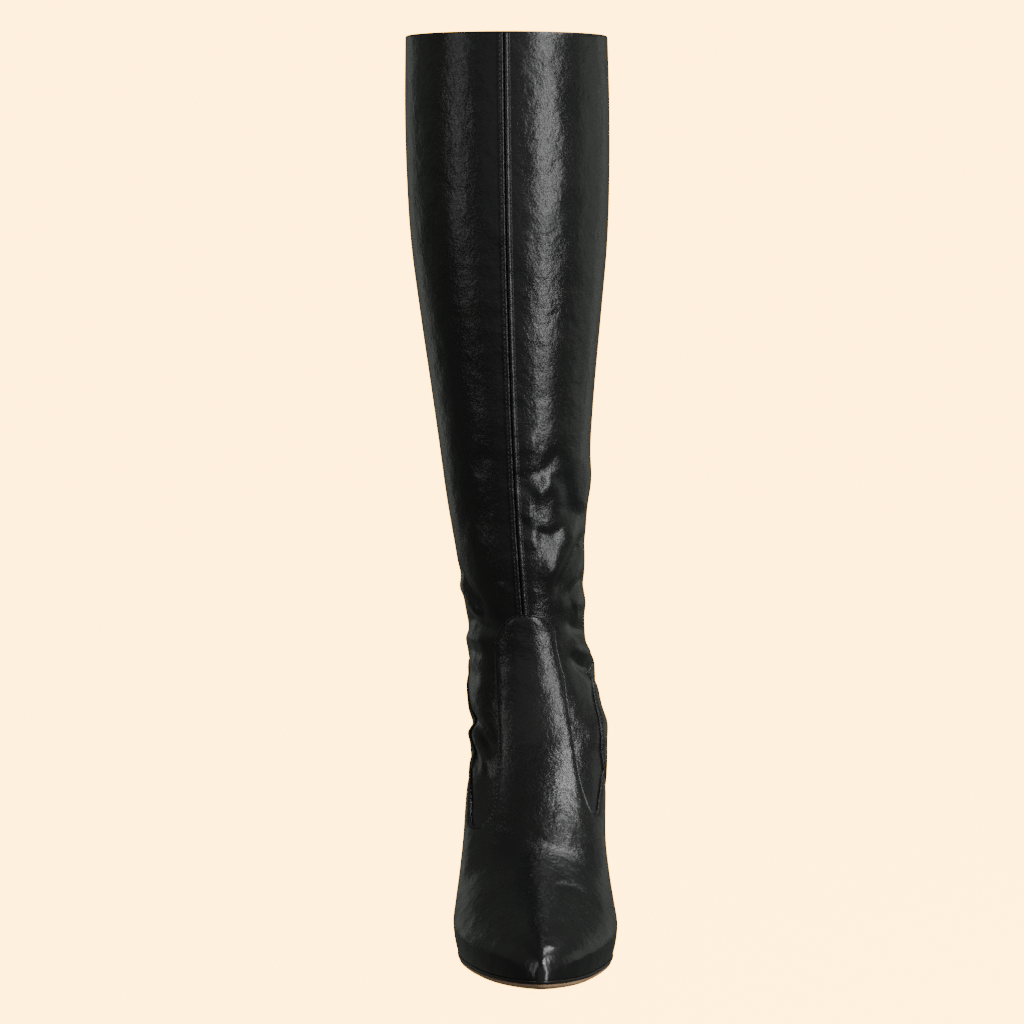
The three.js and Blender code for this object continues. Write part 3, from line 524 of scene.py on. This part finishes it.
# An overlay cut out of the upper's own face: its edge stands proud and a stitched line runs inside it
def overlay(name, outside, sFirst, sLast, spacing, across):
    rows = evenSections(sFirst, sLast, spacing)
    columns = evenAcross(across)

    def place(u, v):
        s = np.interp(u, np.linspace(0, 1, len(rows)), rows)
        t = np.interp(v, np.linspace(0, 1, len(columns)), columns)
        return bareSkin(s, t), s, t

    mesh = sheet(len(rows) - 1, len(columns) - 1, place)
    s, t = readLayers(mesh)
    edgeLine = cutWhere(mesh, outside(s, t), 0, outside)
    s, t = readLayers(mesh)
    value = outside(s, t)
    mesh.verts.index_update()
    onEdge = {v.index for v in edgeLine}
    gone = [v for v in mesh.verts if v.index not in onEdge and value[v.index] > 0]
    bmesh.ops.delete(mesh, geom=gone, context="VERTS")
    edgeLine = [v for v in edgeLine if v.is_valid]
    tree = KDTree(len(edgeLine) * 8)
    count = 0
    edgeSet = set(edgeLine)
    for edge in mesh.edges:
        if edge.is_boundary and edge.verts[0] in edgeSet and edge.verts[1] in edgeSet:
            for k in range(6):
                tree.insert(edge.verts[0].co.lerp(edge.verts[1].co, k / 6), count)
                count += 1
    tree.balance()

    def inFrom():
        return np.array([0 if v in edgeSet else tree.find(v.co)[2] for v in mesh.verts]) / mm

    stitched = []
    for level in overlayProfile["in"][1:-1]:
        line = cutWhere(mesh, inFrom(), level)
        if level == overlayProfile["stitchLine"]:
            stitched = line
    depth = inFrom()
    s, t = readLayers(mesh)
    height = np.interp(depth, overlayProfile["in"], overlayProfile["height"]) * mm
    points = skin(s, t, height)
    feet = skin(s, t, overlayProfile["foot"] * mm)
    sLayer, tLayer = layers(mesh)
    stitchCodes = [(v[sLayer], v[tLayer]) for v in chain(stitched, tLayer)]
    mesh.verts.index_update()
    for vert, point in zip(mesh.verts, points):
        vert.co = point
    border = [e for e in mesh.edges if e.is_boundary]
    owners = {v: feet[v.index] for e in border for v in e.verts}
    positions = {tuple(round(c, 7) for c in v.co): foot for v, foot in owners.items()}
    made = bmesh.ops.extrude_edge_only(mesh, edges=border)
    for item in made["geom"]:
        if isinstance(item, bmesh.types.BMVert):
            item.co = positions[tuple(round(c, 7) for c in item.co)]
    return surfaceObject(name, mesh, 60), stitchCodes


# The corners of a line in their order, from its end at the inner side
def chain(line, tLayer):
    members = set(line)
    links = {v: [e.other_vert(v) for e in v.link_edges if e.other_vert(v) in members] for v in line}
    ends = [v for v in line if len(links[v]) == 1]
    here, before = min(ends or line, key=lambda v: v[tLayer]), None
    path = [here]
    while len(path) <= len(line):
        ahead = [v for v in links[here] if v is not before and v not in path[-3:]]
        if not ahead:
            break
        before, here = here, ahead[0]
        path.append(here)
    return path


upperValues = {
    "spacing": 2.2 * mm,
    "across": 92,
    "wall": 2 * mm,
    "rimTurn": 5,  # rows that round the collar's edge
    "rimRows": 8,  # rows past the collar, with those that go down inside it
    "rimDrop": 3 * mm,  # from one inside row to the next
}


def upperSheet():
    rows = evenSections(0, collarSection, upperValues["spacing"])
    rows = np.concatenate([[0, 0.01, 0.05], rows[1:]])
    columns = evenAcross(upperValues["across"])
    last, turn, wall = len(rows) - 1, upperValues["rimTurn"], upperValues["wall"]
    count = last + upperValues["rimRows"]

    def place(u, v):
        k = np.round(u * count)
        s = rows[np.minimum(k, last).astype(int)]
        t = np.interp(v, np.linspace(0, 1, len(columns)), columns)
        beyond = np.maximum(k - last, 0)
        angle = np.minimum(beyond / turn, 1) * math.pi
        points = skin(s, t, (np.cos(angle) - 1) * wall / 2)
        points[:, 2] += np.sin(angle) * wall / 2 - np.maximum(beyond - turn, 0) * upperValues["rimDrop"]
        return points, s, t

    return sheet(count, len(columns) - 1, place)


upper = surfaceObject("upper_leather", upperSheet())


liningValues = {"spacing": 6 * mm, "across": 30, "inset": 2.05 * mm, "belowCollar": 1.5 * mm}


def liningSheet():
    rows = evenSections(0.4, collarSection, liningValues["spacing"])
    columns = evenAcross(liningValues["across"])

    def place(u, v):
        s = np.interp(u, np.linspace(0, 1, len(rows)), rows)
        t = np.interp(v, np.linspace(0, 1, len(columns)), columns)
        points = skin(s, t, -liningValues["inset"])
        points[:, 2] = np.minimum(points[:, 2], boot["bootHeight"] - liningValues["belowCollar"])
        return points, s, t

    return sheet(len(rows) - 1, len(columns) - 1, place)


lining = surfaceObject("lining", liningSheet())
vamp, vampStitches = overlay("vamp_overlay", outsideVamp, 0, 23.4, 1.6 * mm, 96)
counter, counterStitches = overlay("counter_overlay", outsideCounter, 11, 23.6, 1.8 * mm, 90)


# A ring round the sole: side 1 is the inner half, -1 the outer. reach moves it out in plan, drop lowers it.
def soleEdge(s, side, reach, drop):
    def spot(k):
        half = np.where(side > 0, through(soleHalf["in"], k, -1), through(soleHalf["out"], k, -1))
        x = through(sections["shift"], np.maximum(k, 0)) + side * half
        return np.stack([x, through(along(foot["place"]), k, 1)], axis=-1)

    step = 0.01
    run = unit(spot(np.minimum(s + step, heelSection)) - spot(np.maximum(s - step, 0)))
    normal = np.stack([side * run[:, 1], -side * run[:, 0]], axis=-1)
    normal = np.where((s <= 0)[:, None], [0, -1], normal)
    normal = np.where((s >= heelSection)[:, None], [0, 1], normal)
    p = spot(s) + normal * reach[:, None]
    return np.column_stack([p, featherHeight(p[:, 1]) - drop])


# A layer under the foot whose edge follows a profile of reach and drop in millimetres
def soleLayer(profile, lastSection):
    reach, drop = np.array(profile, float).T * mm
    half = evenSections(0, lastSection, 2 * mm)
    half = np.concatenate([[0, 0.02, 0.06, 0.12, 0.2, 0.3], half[half > 0.35]])
    if lastSection == heelSection:
        closing = heelSection - np.array([0.35, 0.26, 0.17, 0.09, 0.03, 0])
        half = np.concatenate([half[half < heelSection - 0.4], closing])
    around = np.concatenate([half[::-1], -half[1:]])

    def place(u, v):
        at = np.interp(u, np.linspace(0, 1, len(around)), around)
        side = np.where(at >= 0, 1.0, -1.0)
        k = v * (len(profile) - 1)
        r = np.interp(k, np.arange(len(profile)), reach)
        d = np.interp(k, np.arange(len(profile)), drop)
        points = soleEdge(np.abs(at), side, np.maximum(r, -1), d)
        centre = r < -0.05
        points[centre, 0] = through(sections["shift"], np.abs(at[centre]))
        return points, np.abs(at), side

    return sheet(len(around) - 1, len(profile) - 1, place)


# Reach and drop in millimetres of the black layer's edge and the outsole's, from the middle of the top round to
# the middle of the bottom. A reach of -100 stands for the middle.
soleValues = {
    "edge": [[-100, 0.3], [0, 0.3], [1.9, 0.3], [2.15, 0.42], [2.3, 0.7], [2.3, 1.4], [2.15, 1.75], [1.9, 1.9],
             [-100, 1.9]],
    "outsole": [[-100, 2.2], [1.0, 2.2], [1.45, 2.25], [1.6, 2.4], [1.6, 3.0], [1.4, 3.5], [0.6, 4.15],
                [-0.4, 4.7], [-1.2, 4.9], [-2.0, 4.9], [-100, 4.9]],
}
heelBreast = 0.72 * boot["backLength"]
outsoleEnd = np.interp(heelBreast - 0.3 * mm, solePlaces, soleSteps)  # just ahead of the heel
soleBand = surfaceObject("sole_edge_band", soleLayer(soleValues["edge"], heelSection), 40)
outsole = soleLayer(soleValues["outsole"], outsoleEnd)
bmesh.ops.holes_fill(outsole, edges=[e for e in outsole.edges if e.is_boundary])
outsole = surfaceObject("outsole_leather", outsole, 40)


heelValues = {
    "down": [0, 0.1, 0.24, 0.42, 0.66, 1],
    "breast": [0, 0.3, 0.6, 0.82, 0.95, 1],
    "back": [0, 0.12, 0.35, 0.62, 0.86, 1],
    "width": [1, 0.9, 0.68, 0.4, 0.16, 0],
    "front": [[-0.94, 0], [-0.45, 0.06], [0, 0.078], [0.45, 0.06], [0.94, 0]],
    "tipLength": 15 * mm,
    "tipWidth": 16 * mm,
    "lift": 4.7 * mm,
    "gap": 0.3 * mm,  # over the top lift
    "stand": 1.4 * mm,  # off the upper's foot at the seat
    "seat": 2.25 * mm,  # under the upper's foot, where the outsole ends
    "roundShare": 0.74,  # part of a ring that goes round the sides and the back
    "around": 96,
    "rows": 48,
    "spread": 1.15,  # draws the rows up to the seat
}
tipFront = 0.9 * boot["backLength"] - heelValues["tipLength"] / 2
tipBack = tipFront + heelValues["tipLength"]


# Rings of the heel round a share of its outline u, from its front corner round the back
def heelRing(u, breast, back, half):
    length = back - breast
    centre = breast + np.maximum(length - half, 0.45 * length)
    turn = heelValues["roundShare"]
    angle = np.clip(u / turn, 0, 1) * math.pi
    x, y = half * np.cos(angle), centre + (back - centre) * np.sin(angle)
    frontX, frontY = np.array(heelValues["front"]).T
    place = np.clip((u - turn) / (1 - turn), 0, 1) * 6
    alongFront = np.interp(place, np.arange(7), [-1, -0.94, -0.45, 0, 0.45, 0.94, 1])
    hollow = np.interp(place, np.arange(7), [0, 0, *frontY[1:4], 0, 0])
    onFront = u > turn
    x = np.where(onFront, alongFront * half, x)
    corner = np.where((place > 0) & (place < 6), breast + hollow * length, centre)
    y = np.where(onFront, corner, y)
    return x, y


def heelSheet():
    topBack = sections["baseY"][heelSection] + heelValues["stand"]
    topHalf = soleHalf["in"][heelSection - 2] + heelValues["stand"]
    tipHalf = heelValues["tipWidth"] / 2
    bottom = heelValues["lift"] + heelValues["gap"]

    def place(u, v):
        rows = np.arange(6)
        level = np.interp(v ** heelValues["spread"], heelValues["down"], rows)
        at = {k: through(np.array(heelValues[k], float), level) for k in ("breast", "back", "width")}
        breast = heelBreast + (tipFront - heelBreast) * at["breast"]
        back = topBack + (tipBack - topBack) * at["back"]
        half = tipHalf + (topHalf - tipHalf) * np.clip(at["width"], 0, 1)
        x, y = heelRing(u, breast, back, half)
        down = through(np.array(heelValues["down"], float), level)
        top = featherHeight(y) - heelValues["seat"]
        return np.column_stack([x, y, top + (bottom - top) * down]), u, v

    mesh = sheet(heelValues["around"], heelValues["rows"], place)
    bmesh.ops.holes_fill(mesh, edges=[e for e in mesh.edges if e.is_boundary])
    return mesh


heel = surfaceObject("heel_cover", heelSheet(), 40)


def liftSheet():
    def place(u, v):
        k = v * 5
        inset = np.interp(k, [0, 1, 4, 5], [0.25, 0, 0, 0.5]) * mm
        thick = heelValues["lift"]
        z = np.interp(k, [0, 1, 4, 5], [thick, thick - 0.25 * mm, 0.5 * mm, 0])
        x, y = heelRing(u, tipFront + inset, tipBack - inset, heelValues["tipWidth"] / 2 - inset)
        return np.column_stack([x, y, z]), u, v

    mesh = sheet(heelValues["around"], 5, place)
    bmesh.ops.holes_fill(mesh, edges=[e for e in mesh.edges if e.is_boundary])
    return mesh


lift = surfaceObject("top_lift_rubber", liftSheet(), 40)


seamValues = {
    "across": [0, 0.35, 0.7, 1.2, 1.8, 2.35, 2.9, 3.3, 3.5],  # from the middle out, in millimetres
    "height": [0.15, 0.6, 1.05, 1.15, 0.95, 0.55, 0.8, 0.55, 0],
    "stitchLine": 2.35,
    "start": 0.985,  # as a share of the ankle's level, under the tongue's end
    "spacing": 1.5 * mm,
}
seamAcross = np.concatenate([-np.array(seamValues["across"][:0:-1]), seamValues["across"]])
seamHeight = np.concatenate([seamValues["height"][:0:-1], seamValues["height"]])


# t at a distance across the front of a section
def acrossFront(s, distance):
    wide = np.where(distance > 0, read("wideIn", s), read("wideOut", s))
    angle = np.arccos((np.abs(distance) / wide) ** (read("top", s) / 2))
    climb = lowShare + (1 - lowShare) * angle * 2 / math.pi
    return np.where(distance > 0, climb - 1, 1 - climb)


crownSteps = np.linspace(heelSection, collarSection, 3000)
seamStart = np.interp(seamValues["start"] * ankleLevel, through(sections["crownZ"], crownSteps), crownSteps)


def seamSheet():
    rows = evenSections(seamStart, collarSection, seamValues["spacing"])
    last = len(seamAcross) - 1

    def place(u, v):
        s = np.interp(u, np.linspace(0, 1, len(rows)), rows)
        distance = np.interp(v * last, np.arange(last + 1), seamAcross) * mm
        height = np.interp(v * last, np.arange(last + 1), seamHeight) * mm
        t = acrossFront(s, distance)
        return skin(s, t, height), s, t

    return sheet(len(rows) - 1, last, place, 0)


seam = surfaceObject("front_seam_ridges", seamSheet(), 80)


stitchValues = {
    "pitch": 2.5 * mm,
    "length": 1.75 * mm,
    "thickness": 0.52 * mm,
    "overlayHeight": 0.9 * mm,
    "seamHeight": 0.62 * mm,
}


# Lays copies of one stitch, a small rounded bar of thread, along a line of places s, t
def layStitches(thread, mesh, codes, height):
    s, t = np.array(codes, float).T
    path = skin(s, t, height)
    run = np.concatenate([[0], np.cumsum(np.linalg.norm(np.diff(path, axis=0), axis=1))])
    pitch, length = stitchValues["pitch"], stitchValues["length"]
    middles = np.arange(pitch, run[-1] - pitch / 2, pitch)
    firsts, lasts = (np.stack([np.interp(middles + shift, run, path[:, k]) for k in range(3)], axis=-1)
                     for shift in (-length / 2, length / 2))
    for first, last in zip(firsts, lasts):
        turn = Vector(last - first).to_track_quat("X", "Z").to_matrix().to_4x4()
        placed = Matrix.Translation((first + last) / 2) @ turn
        thread.transform(placed)
        mesh.from_mesh(thread)
        thread.transform(placed.inverted())


def stitchMesh():
    thick = stitchValues["thickness"] / 2
    shape = Matrix.Diagonal((stitchValues["length"] / 2, thick, thick, 1))
    bar = bmesh.new()
    bmesh.ops.create_uvsphere(bar, u_segments=8, v_segments=6, radius=1, matrix=shape)
    thread = bpy.data.meshes.new("stitch_bar")
    bar.to_mesh(thread)
    bar.free()
    mesh = bmesh.new()
    for codes in (vampStitches, counterStitches):
        layStitches(thread, mesh, codes, stitchValues["overlayHeight"])
    for side in (-1, 1):
        s = evenSections(seamStart, collarSection - 0.02, seamValues["spacing"])
        t = acrossFront(s, np.full(len(s), side * seamValues["stitchLine"] * mm))
        layStitches(thread, mesh, np.column_stack([s, t]), stitchValues["seamHeight"])
    bpy.data.meshes.remove(thread)
    return mesh


stitches = surfaceObject("stitches", stitchMesh(), 180)


# A socket in a node tree that takes part in sums
class Signal:
    def __init__(self, paint, socket):
        self.paint, self.socket = paint, socket

    def join(self, operation, other):
        return self.paint.node("ShaderNodeMath", {"operation": operation}, {0: self, 1: other})

    def __add__(self, other):
        return self.join("ADD", other)

    def __radd__(self, other):
        return self.join("ADD", other)

    def __sub__(self, other):
        return self.join("SUBTRACT", other)

    def __rsub__(self, other):
        return (self * -1) + other

    def __mul__(self, other):
        return self.join("MULTIPLY", other)

    def __rmul__(self, other):
        return self.join("MULTIPLY", other)

    def between(self, low, high):
        settings = {"interpolation_type": "SMOOTHSTEP"}
        return self.paint.node("ShaderNodeMapRange", settings, {0: self, 1: low, 2: high, 3: 0, 4: 1})


# A material's node tree
class Paint:
    def __init__(self, name):
        self.material = bpy.data.materials.new(name)
        self.material.use_nodes = True
        self.tree = self.material.node_tree
        self.tree.nodes.clear()
        coordinates = self.tree.nodes.new("ShaderNodeTexCoord")
        self.place = Signal(self, coordinates.outputs["Object"])

    def node(self, kind, settings=None, inputs=None, output=0):
        made = self.tree.nodes.new(kind)
        for key, value in (settings or {}).items():
            setattr(made, key, value)
        for key, value in (inputs or {}).items():
            if isinstance(value, Signal):
                self.tree.links.new(value.socket, made.inputs[key])
            else:
                made.inputs[key].default_value = value
        return Signal(self, made.outputs[output])

    def noise(self, scale, detail=2, roughness=0.5, distortion=0):
        inputs = {"Vector": self.place, "Scale": scale, "Detail": detail, "Roughness": roughness,
                  "Distortion": distortion}
        return self.node("ShaderNodeTexNoise", None, inputs)

    def softCells(self, scale, smoothness):
        inputs = {"Vector": self.place, "Scale": scale, "Smoothness": smoothness}
        return self.node("ShaderNodeTexVoronoi", {"feature": "SMOOTH_F1"}, inputs)

    def blend(self, factor, first, second):
        inputs = {0: factor, 6: (*first, 1), 7: (*second, 1)}
        return self.node("ShaderNodeMix", {"data_type": "RGBA"}, inputs, 2)

    def bump(self, height, distance, normal=None):
        inputs = {"Height": height, "Distance": distance, "Strength": 1}
        if normal:
            inputs["Normal"] = normal
        return self.node("ShaderNodeBump", None, inputs)

    def finish(self, **values):
        shader = self.tree.nodes.new("ShaderNodeBsdfPrincipled")
        for key, value in values.items():
            socket = shader.inputs[key.replace("_", " ")]
            if isinstance(value, Signal):
                self.tree.links.new(value.socket, socket)
            else:
                socket.default_value = (*value, 1) if isinstance(value, tuple) else value
        output = self.tree.nodes.new("ShaderNodeOutputMaterial")
        self.tree.links.new(shader.outputs[0], output.inputs[0])
        return self.material


leatherValues = {
    "colour": (0.0062, 0.0068, 0.0066),
    "worn": (0.008, 0.0085, 0.0078),
    "roughness": 0.27,
    "grain": 900,  # sizes of the pattern, each as repeats to the metre
    "warp": 420,
    "swirl": 760,
    "fine": 2400,
    "uneven": 70,
    "patches": 24,
    "grainDepth": 0.09 * mm,
    "softDepth": 1.5 * mm,
    "toeRoughness": 0.25,
    "heelRoughness": 0.3,
    "heelGrainDepth": 0.02 * mm,
    "polished": (-0.078, -0.040),  # from the smooth toe to full grain, along the foot
}


# Black calf: fine wrinkled grain over softly uneven leather, polished smooth over the toe
def blackLeather(name, roughness, grainDepth, polished=None):
    paint = Paint(name)
    warp = paint.noise(leatherValues["warp"])
    swirl = paint.noise(leatherValues["swirl"], 3, 0.62, 1.1)
    grain = paint.softCells(leatherValues["grain"], 0.4)
    fine = paint.noise(leatherValues["fine"], 2, 0.6)
    uneven = paint.noise(leatherValues["uneven"], 3, 0.55)
    patches = paint.noise(leatherValues["patches"])
    height = swirl * 1.2 - grain * 0.6 + fine * 0.22 + warp * 0.6
    rough = roughness + (swirl - 0.5) * 0.14 + (patches - 0.5) * 0.12
    if polished:
        wander = paint.noise(60)
        y = paint.node("ShaderNodeSeparateXYZ", None, {0: paint.place}, 1)
        grained = (y + (wander - 0.5) * 0.02).between(*polished)
        height = height * (grained * 0.92 + 0.08)
        rough = rough * grained + (1 - grained) * leatherValues["toeRoughness"]
    colour = paint.blend(uneven.between(0.35, 0.75), leatherValues["colour"], leatherValues["worn"])
    soft = paint.bump(uneven * 0.7 + patches * 0.9, leatherValues["softDepth"])
    normal = paint.bump(height, grainDepth, soft)
    return paint.finish(Base_Color=colour, Roughness=rough, Normal=normal)


leather = blackLeather("black_leather", leatherValues["roughness"], leatherValues["grainDepth"],
                       leatherValues["polished"])
heelLeather = blackLeather("heel_leather", leatherValues["heelRoughness"], leatherValues["heelGrainDepth"])


def plainPaint(name, colour, second, roughness, scale, depth):
    paint = Paint(name)
    grain = paint.noise(scale, 4, 0.6)
    tone = paint.noise(scale / 14, 3, 0.5)
    shade = paint.blend(tone.between(0.3, 0.7), colour, second)
    rough = (grain - 0.5) * 0.15 + roughness
    return paint.finish(Base_Color=shade, Roughness=rough, Normal=paint.bump(grain, depth))


edgeInk = plainPaint("edge_ink", (0.008, 0.008, 0.008), (0.014, 0.013, 0.012), 0.32, 900, 0.02 * mm)
tan = plainPaint("tan_sole", (0.50, 0.33, 0.21), (0.36, 0.22, 0.13), 0.5, 700, 0.04 * mm)
sock = plainPaint("sock_leather", (0.03, 0.027, 0.025), (0.045, 0.04, 0.036), 0.7, 1200, 0.05 * mm)
rubber = plainPaint("lift_rubber", (0.012, 0.012, 0.012), (0.02, 0.02, 0.02), 0.7, 1500, 0.04 * mm)
thread = plainPaint("black_thread", (0.02, 0.02, 0.02), (0.035, 0.034, 0.032), 0.42, 3000, 0.03 * mm)

for piece, paint, slot, nodes in [
    (upper, leather, "upper_leather", ["upper"]),
    (vamp, leather, "upper_leather", ["vamp"]),
    (counter, leather, "upper_leather", ["counter"]),
    (seam, leather, "upper_leather", ["front_seam"]),
    (lining, sock, "sock_leather", []),
    (soleBand, edgeInk, "edge_black", ["sole_edge"]),
    (outsole, tan, "sole_leather", ["outsole"]),
    (heel, heelLeather, "heel_leather", ["heel"]),
    (lift, rubber, "lift_rubber", ["top_lift"]),
    (stitches, thread, "upper_leather", []),
]:
    piece.data.materials.append(paint)
    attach(piece, "root")
    if nodes:
        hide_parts(*nodes)

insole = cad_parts["insole"].data
insole.materials.clear()
insole.materials.append(sock)
print("materials on", len(bpy.data.materials), "finishes")

studio = {
    "paper": (1.0, 0.52, 0.105),
    "glow": 12.5,  # light the paper gives of its own, as a lit sweep does
    "world": 0.12,
    "radius": 3.4,
    "bend": 1.2,  # radius of the curve from floor to wall
    "wall": 2.8,  # height of the wall above that curve
}


# A round bowl of paper: the floor under the boot, bent up into a wall on every side
def backdrop():
    mesh = bmesh.new()
    radius, bend, wall = studio["radius"], studio["bend"], studio["wall"]
    outline = [(radius * k / 6, 0) for k in range(7)]
    for turn in np.linspace(0.15, math.pi / 2, 10):
        outline.append((radius + bend * math.sin(turn), bend * (1 - math.cos(turn))))
    outline += [(radius + bend, bend + wall / 2), (radius + bend, bend + wall)]
    verts = [bmesh.ops.create_vert(mesh, co=(x, 0, z))["vert"][0] for x, z in outline]
    edges = [mesh.edges.new(pair) for pair in zip(verts, verts[1:])]
    bmesh.ops.spin(mesh, geom=verts + edges, cent=(0, 0, 0), axis=(0, 0, 1), angle=2 * math.pi, steps=72,
                   use_merge=True)
    bmesh.ops.remove_doubles(mesh, verts=mesh.verts, dist=1 * mm)
    return surfaceObject("backdrop", mesh, 180)


floor = backdrop()
floor.visible_glossy = False
floor.visible_diffuse = False
floorPaint = Paint("backdrop_paper")
mottle = floorPaint.noise(3, 2)
shade = floorPaint.blend(mottle, studio["paper"], tuple(c * 0.995 for c in studio["paper"]))
floor.data.materials.append(floorPaint.finish(Base_Color=shade, Roughness=0.9, Emission_Color=shade,
                                              Emission_Strength=studio["glow"]))

world = bpy.data.worlds.new("studio")
world.use_nodes = True
world.node_tree.nodes["Background"].inputs["Color"].default_value = (0.93, 1, 0.92, 1)
world.node_tree.nodes["Background"].inputs["Strength"].default_value = studio["world"]
bpy.context.scene.world = world


def areaLight(name, location, target, size, power, colour):
    data = bpy.data.lights.new(name, "AREA")
    data.shape = "RECTANGLE"
    data.size, data.size_y = size
    data.energy = power
    data.color = colour
    lamp = bpy.data.objects.new(name, data)
    lamp.location = location
    lamp.rotation_mode = "QUATERNION"
    lamp.rotation_quaternion = (Vector(target) - Vector(location)).to_track_quat("-Z", "Y")
    lamp.visible_camera = False
    bpy.context.scene.collection.objects.link(lamp)
    return lamp


# Each lamp's name, place, what it points at, width and height in metres, watts and colour
for light in [
    ("side", (1.23, -1.03, 0.5), (0, 0.05, 0.25), (0.3, 1.3), 15, (1, 1, 1)),
    ("upper", (1.0, -0.6, 1.25), (0, 0.05, 0.15), (0.3, 0.6), 13, (1, 1, 1)),
    ("top", (0.66, 0.3, 1.6), (0, 0.0, 0.05), (0.26, 0.7), 8, (1, 1, 1)),
    ("front", (0.12, -1.7, 1.15), (0, 0.0, 0.1), (0.08, 0.08), 0.05, (1, 1, 1)),
    ("fill", (0, -2.6, 0.7), (0, 0.0, 0.25), (3.2, 2.2), 5.5, (1, 1, 1)),
    ("left", (-1.3, -0.75, 0.7), (0, 0.05, 0.3), (0.2, 1.2), 2.6, (1, 1, 1)),
    ("far left", (-1.4, 0.3, 0.85), (0, 0.0, 0.1), (1.2, 1.2), 0.5, (0.93, 1, 0.9)),
    ("far right", (1.4, 0.3, 0.85), (0, 0.0, 0.1), (1.2, 1.2), 0.3, (0.93, 1, 0.9)),
    ("low right", (1.5, 0.6, 0.35), (0, 0.05, 0.3), (0.8, 0.7), 0.8, (0.95, 1, 0.95)),
    ("back left", (-1.3, 1.7, 0.3), (0, 0.1, 0.25), (0.7, 1.0), 0.8, (0.95, 1, 0.93)),
    ("back right", (1.3, 1.7, 0.3), (0, 0.1, 0.25), (0.7, 1.0), 0.8, (0.95, 1, 0.93)),
]:
    areaLight(*light)
print("studio lit with", len(bpy.data.lights), "lamps")

# The camera stands a little above knee height in front of the boot, turned as the photo has it
lens = {"distance": 1.8, "side": 0.03, "height": 0.40, "target": (-0.014, 0.03, 0.236), "focal": 121}
camera = bpy.data.objects.new("camera", bpy.data.cameras.new("camera"))
camera.location = (lens["side"], -lens["distance"], lens["height"])
camera.rotation_mode = "QUATERNION"
camera.rotation_quaternion = (Vector(lens["target"]) - camera.location).to_track_quat("-Z", "Y")
camera.data.lens = lens["focal"]
camera.data.sensor_width = 36
bpy.context.scene.collection.objects.link(camera)
bpy.context.scene.camera = camera
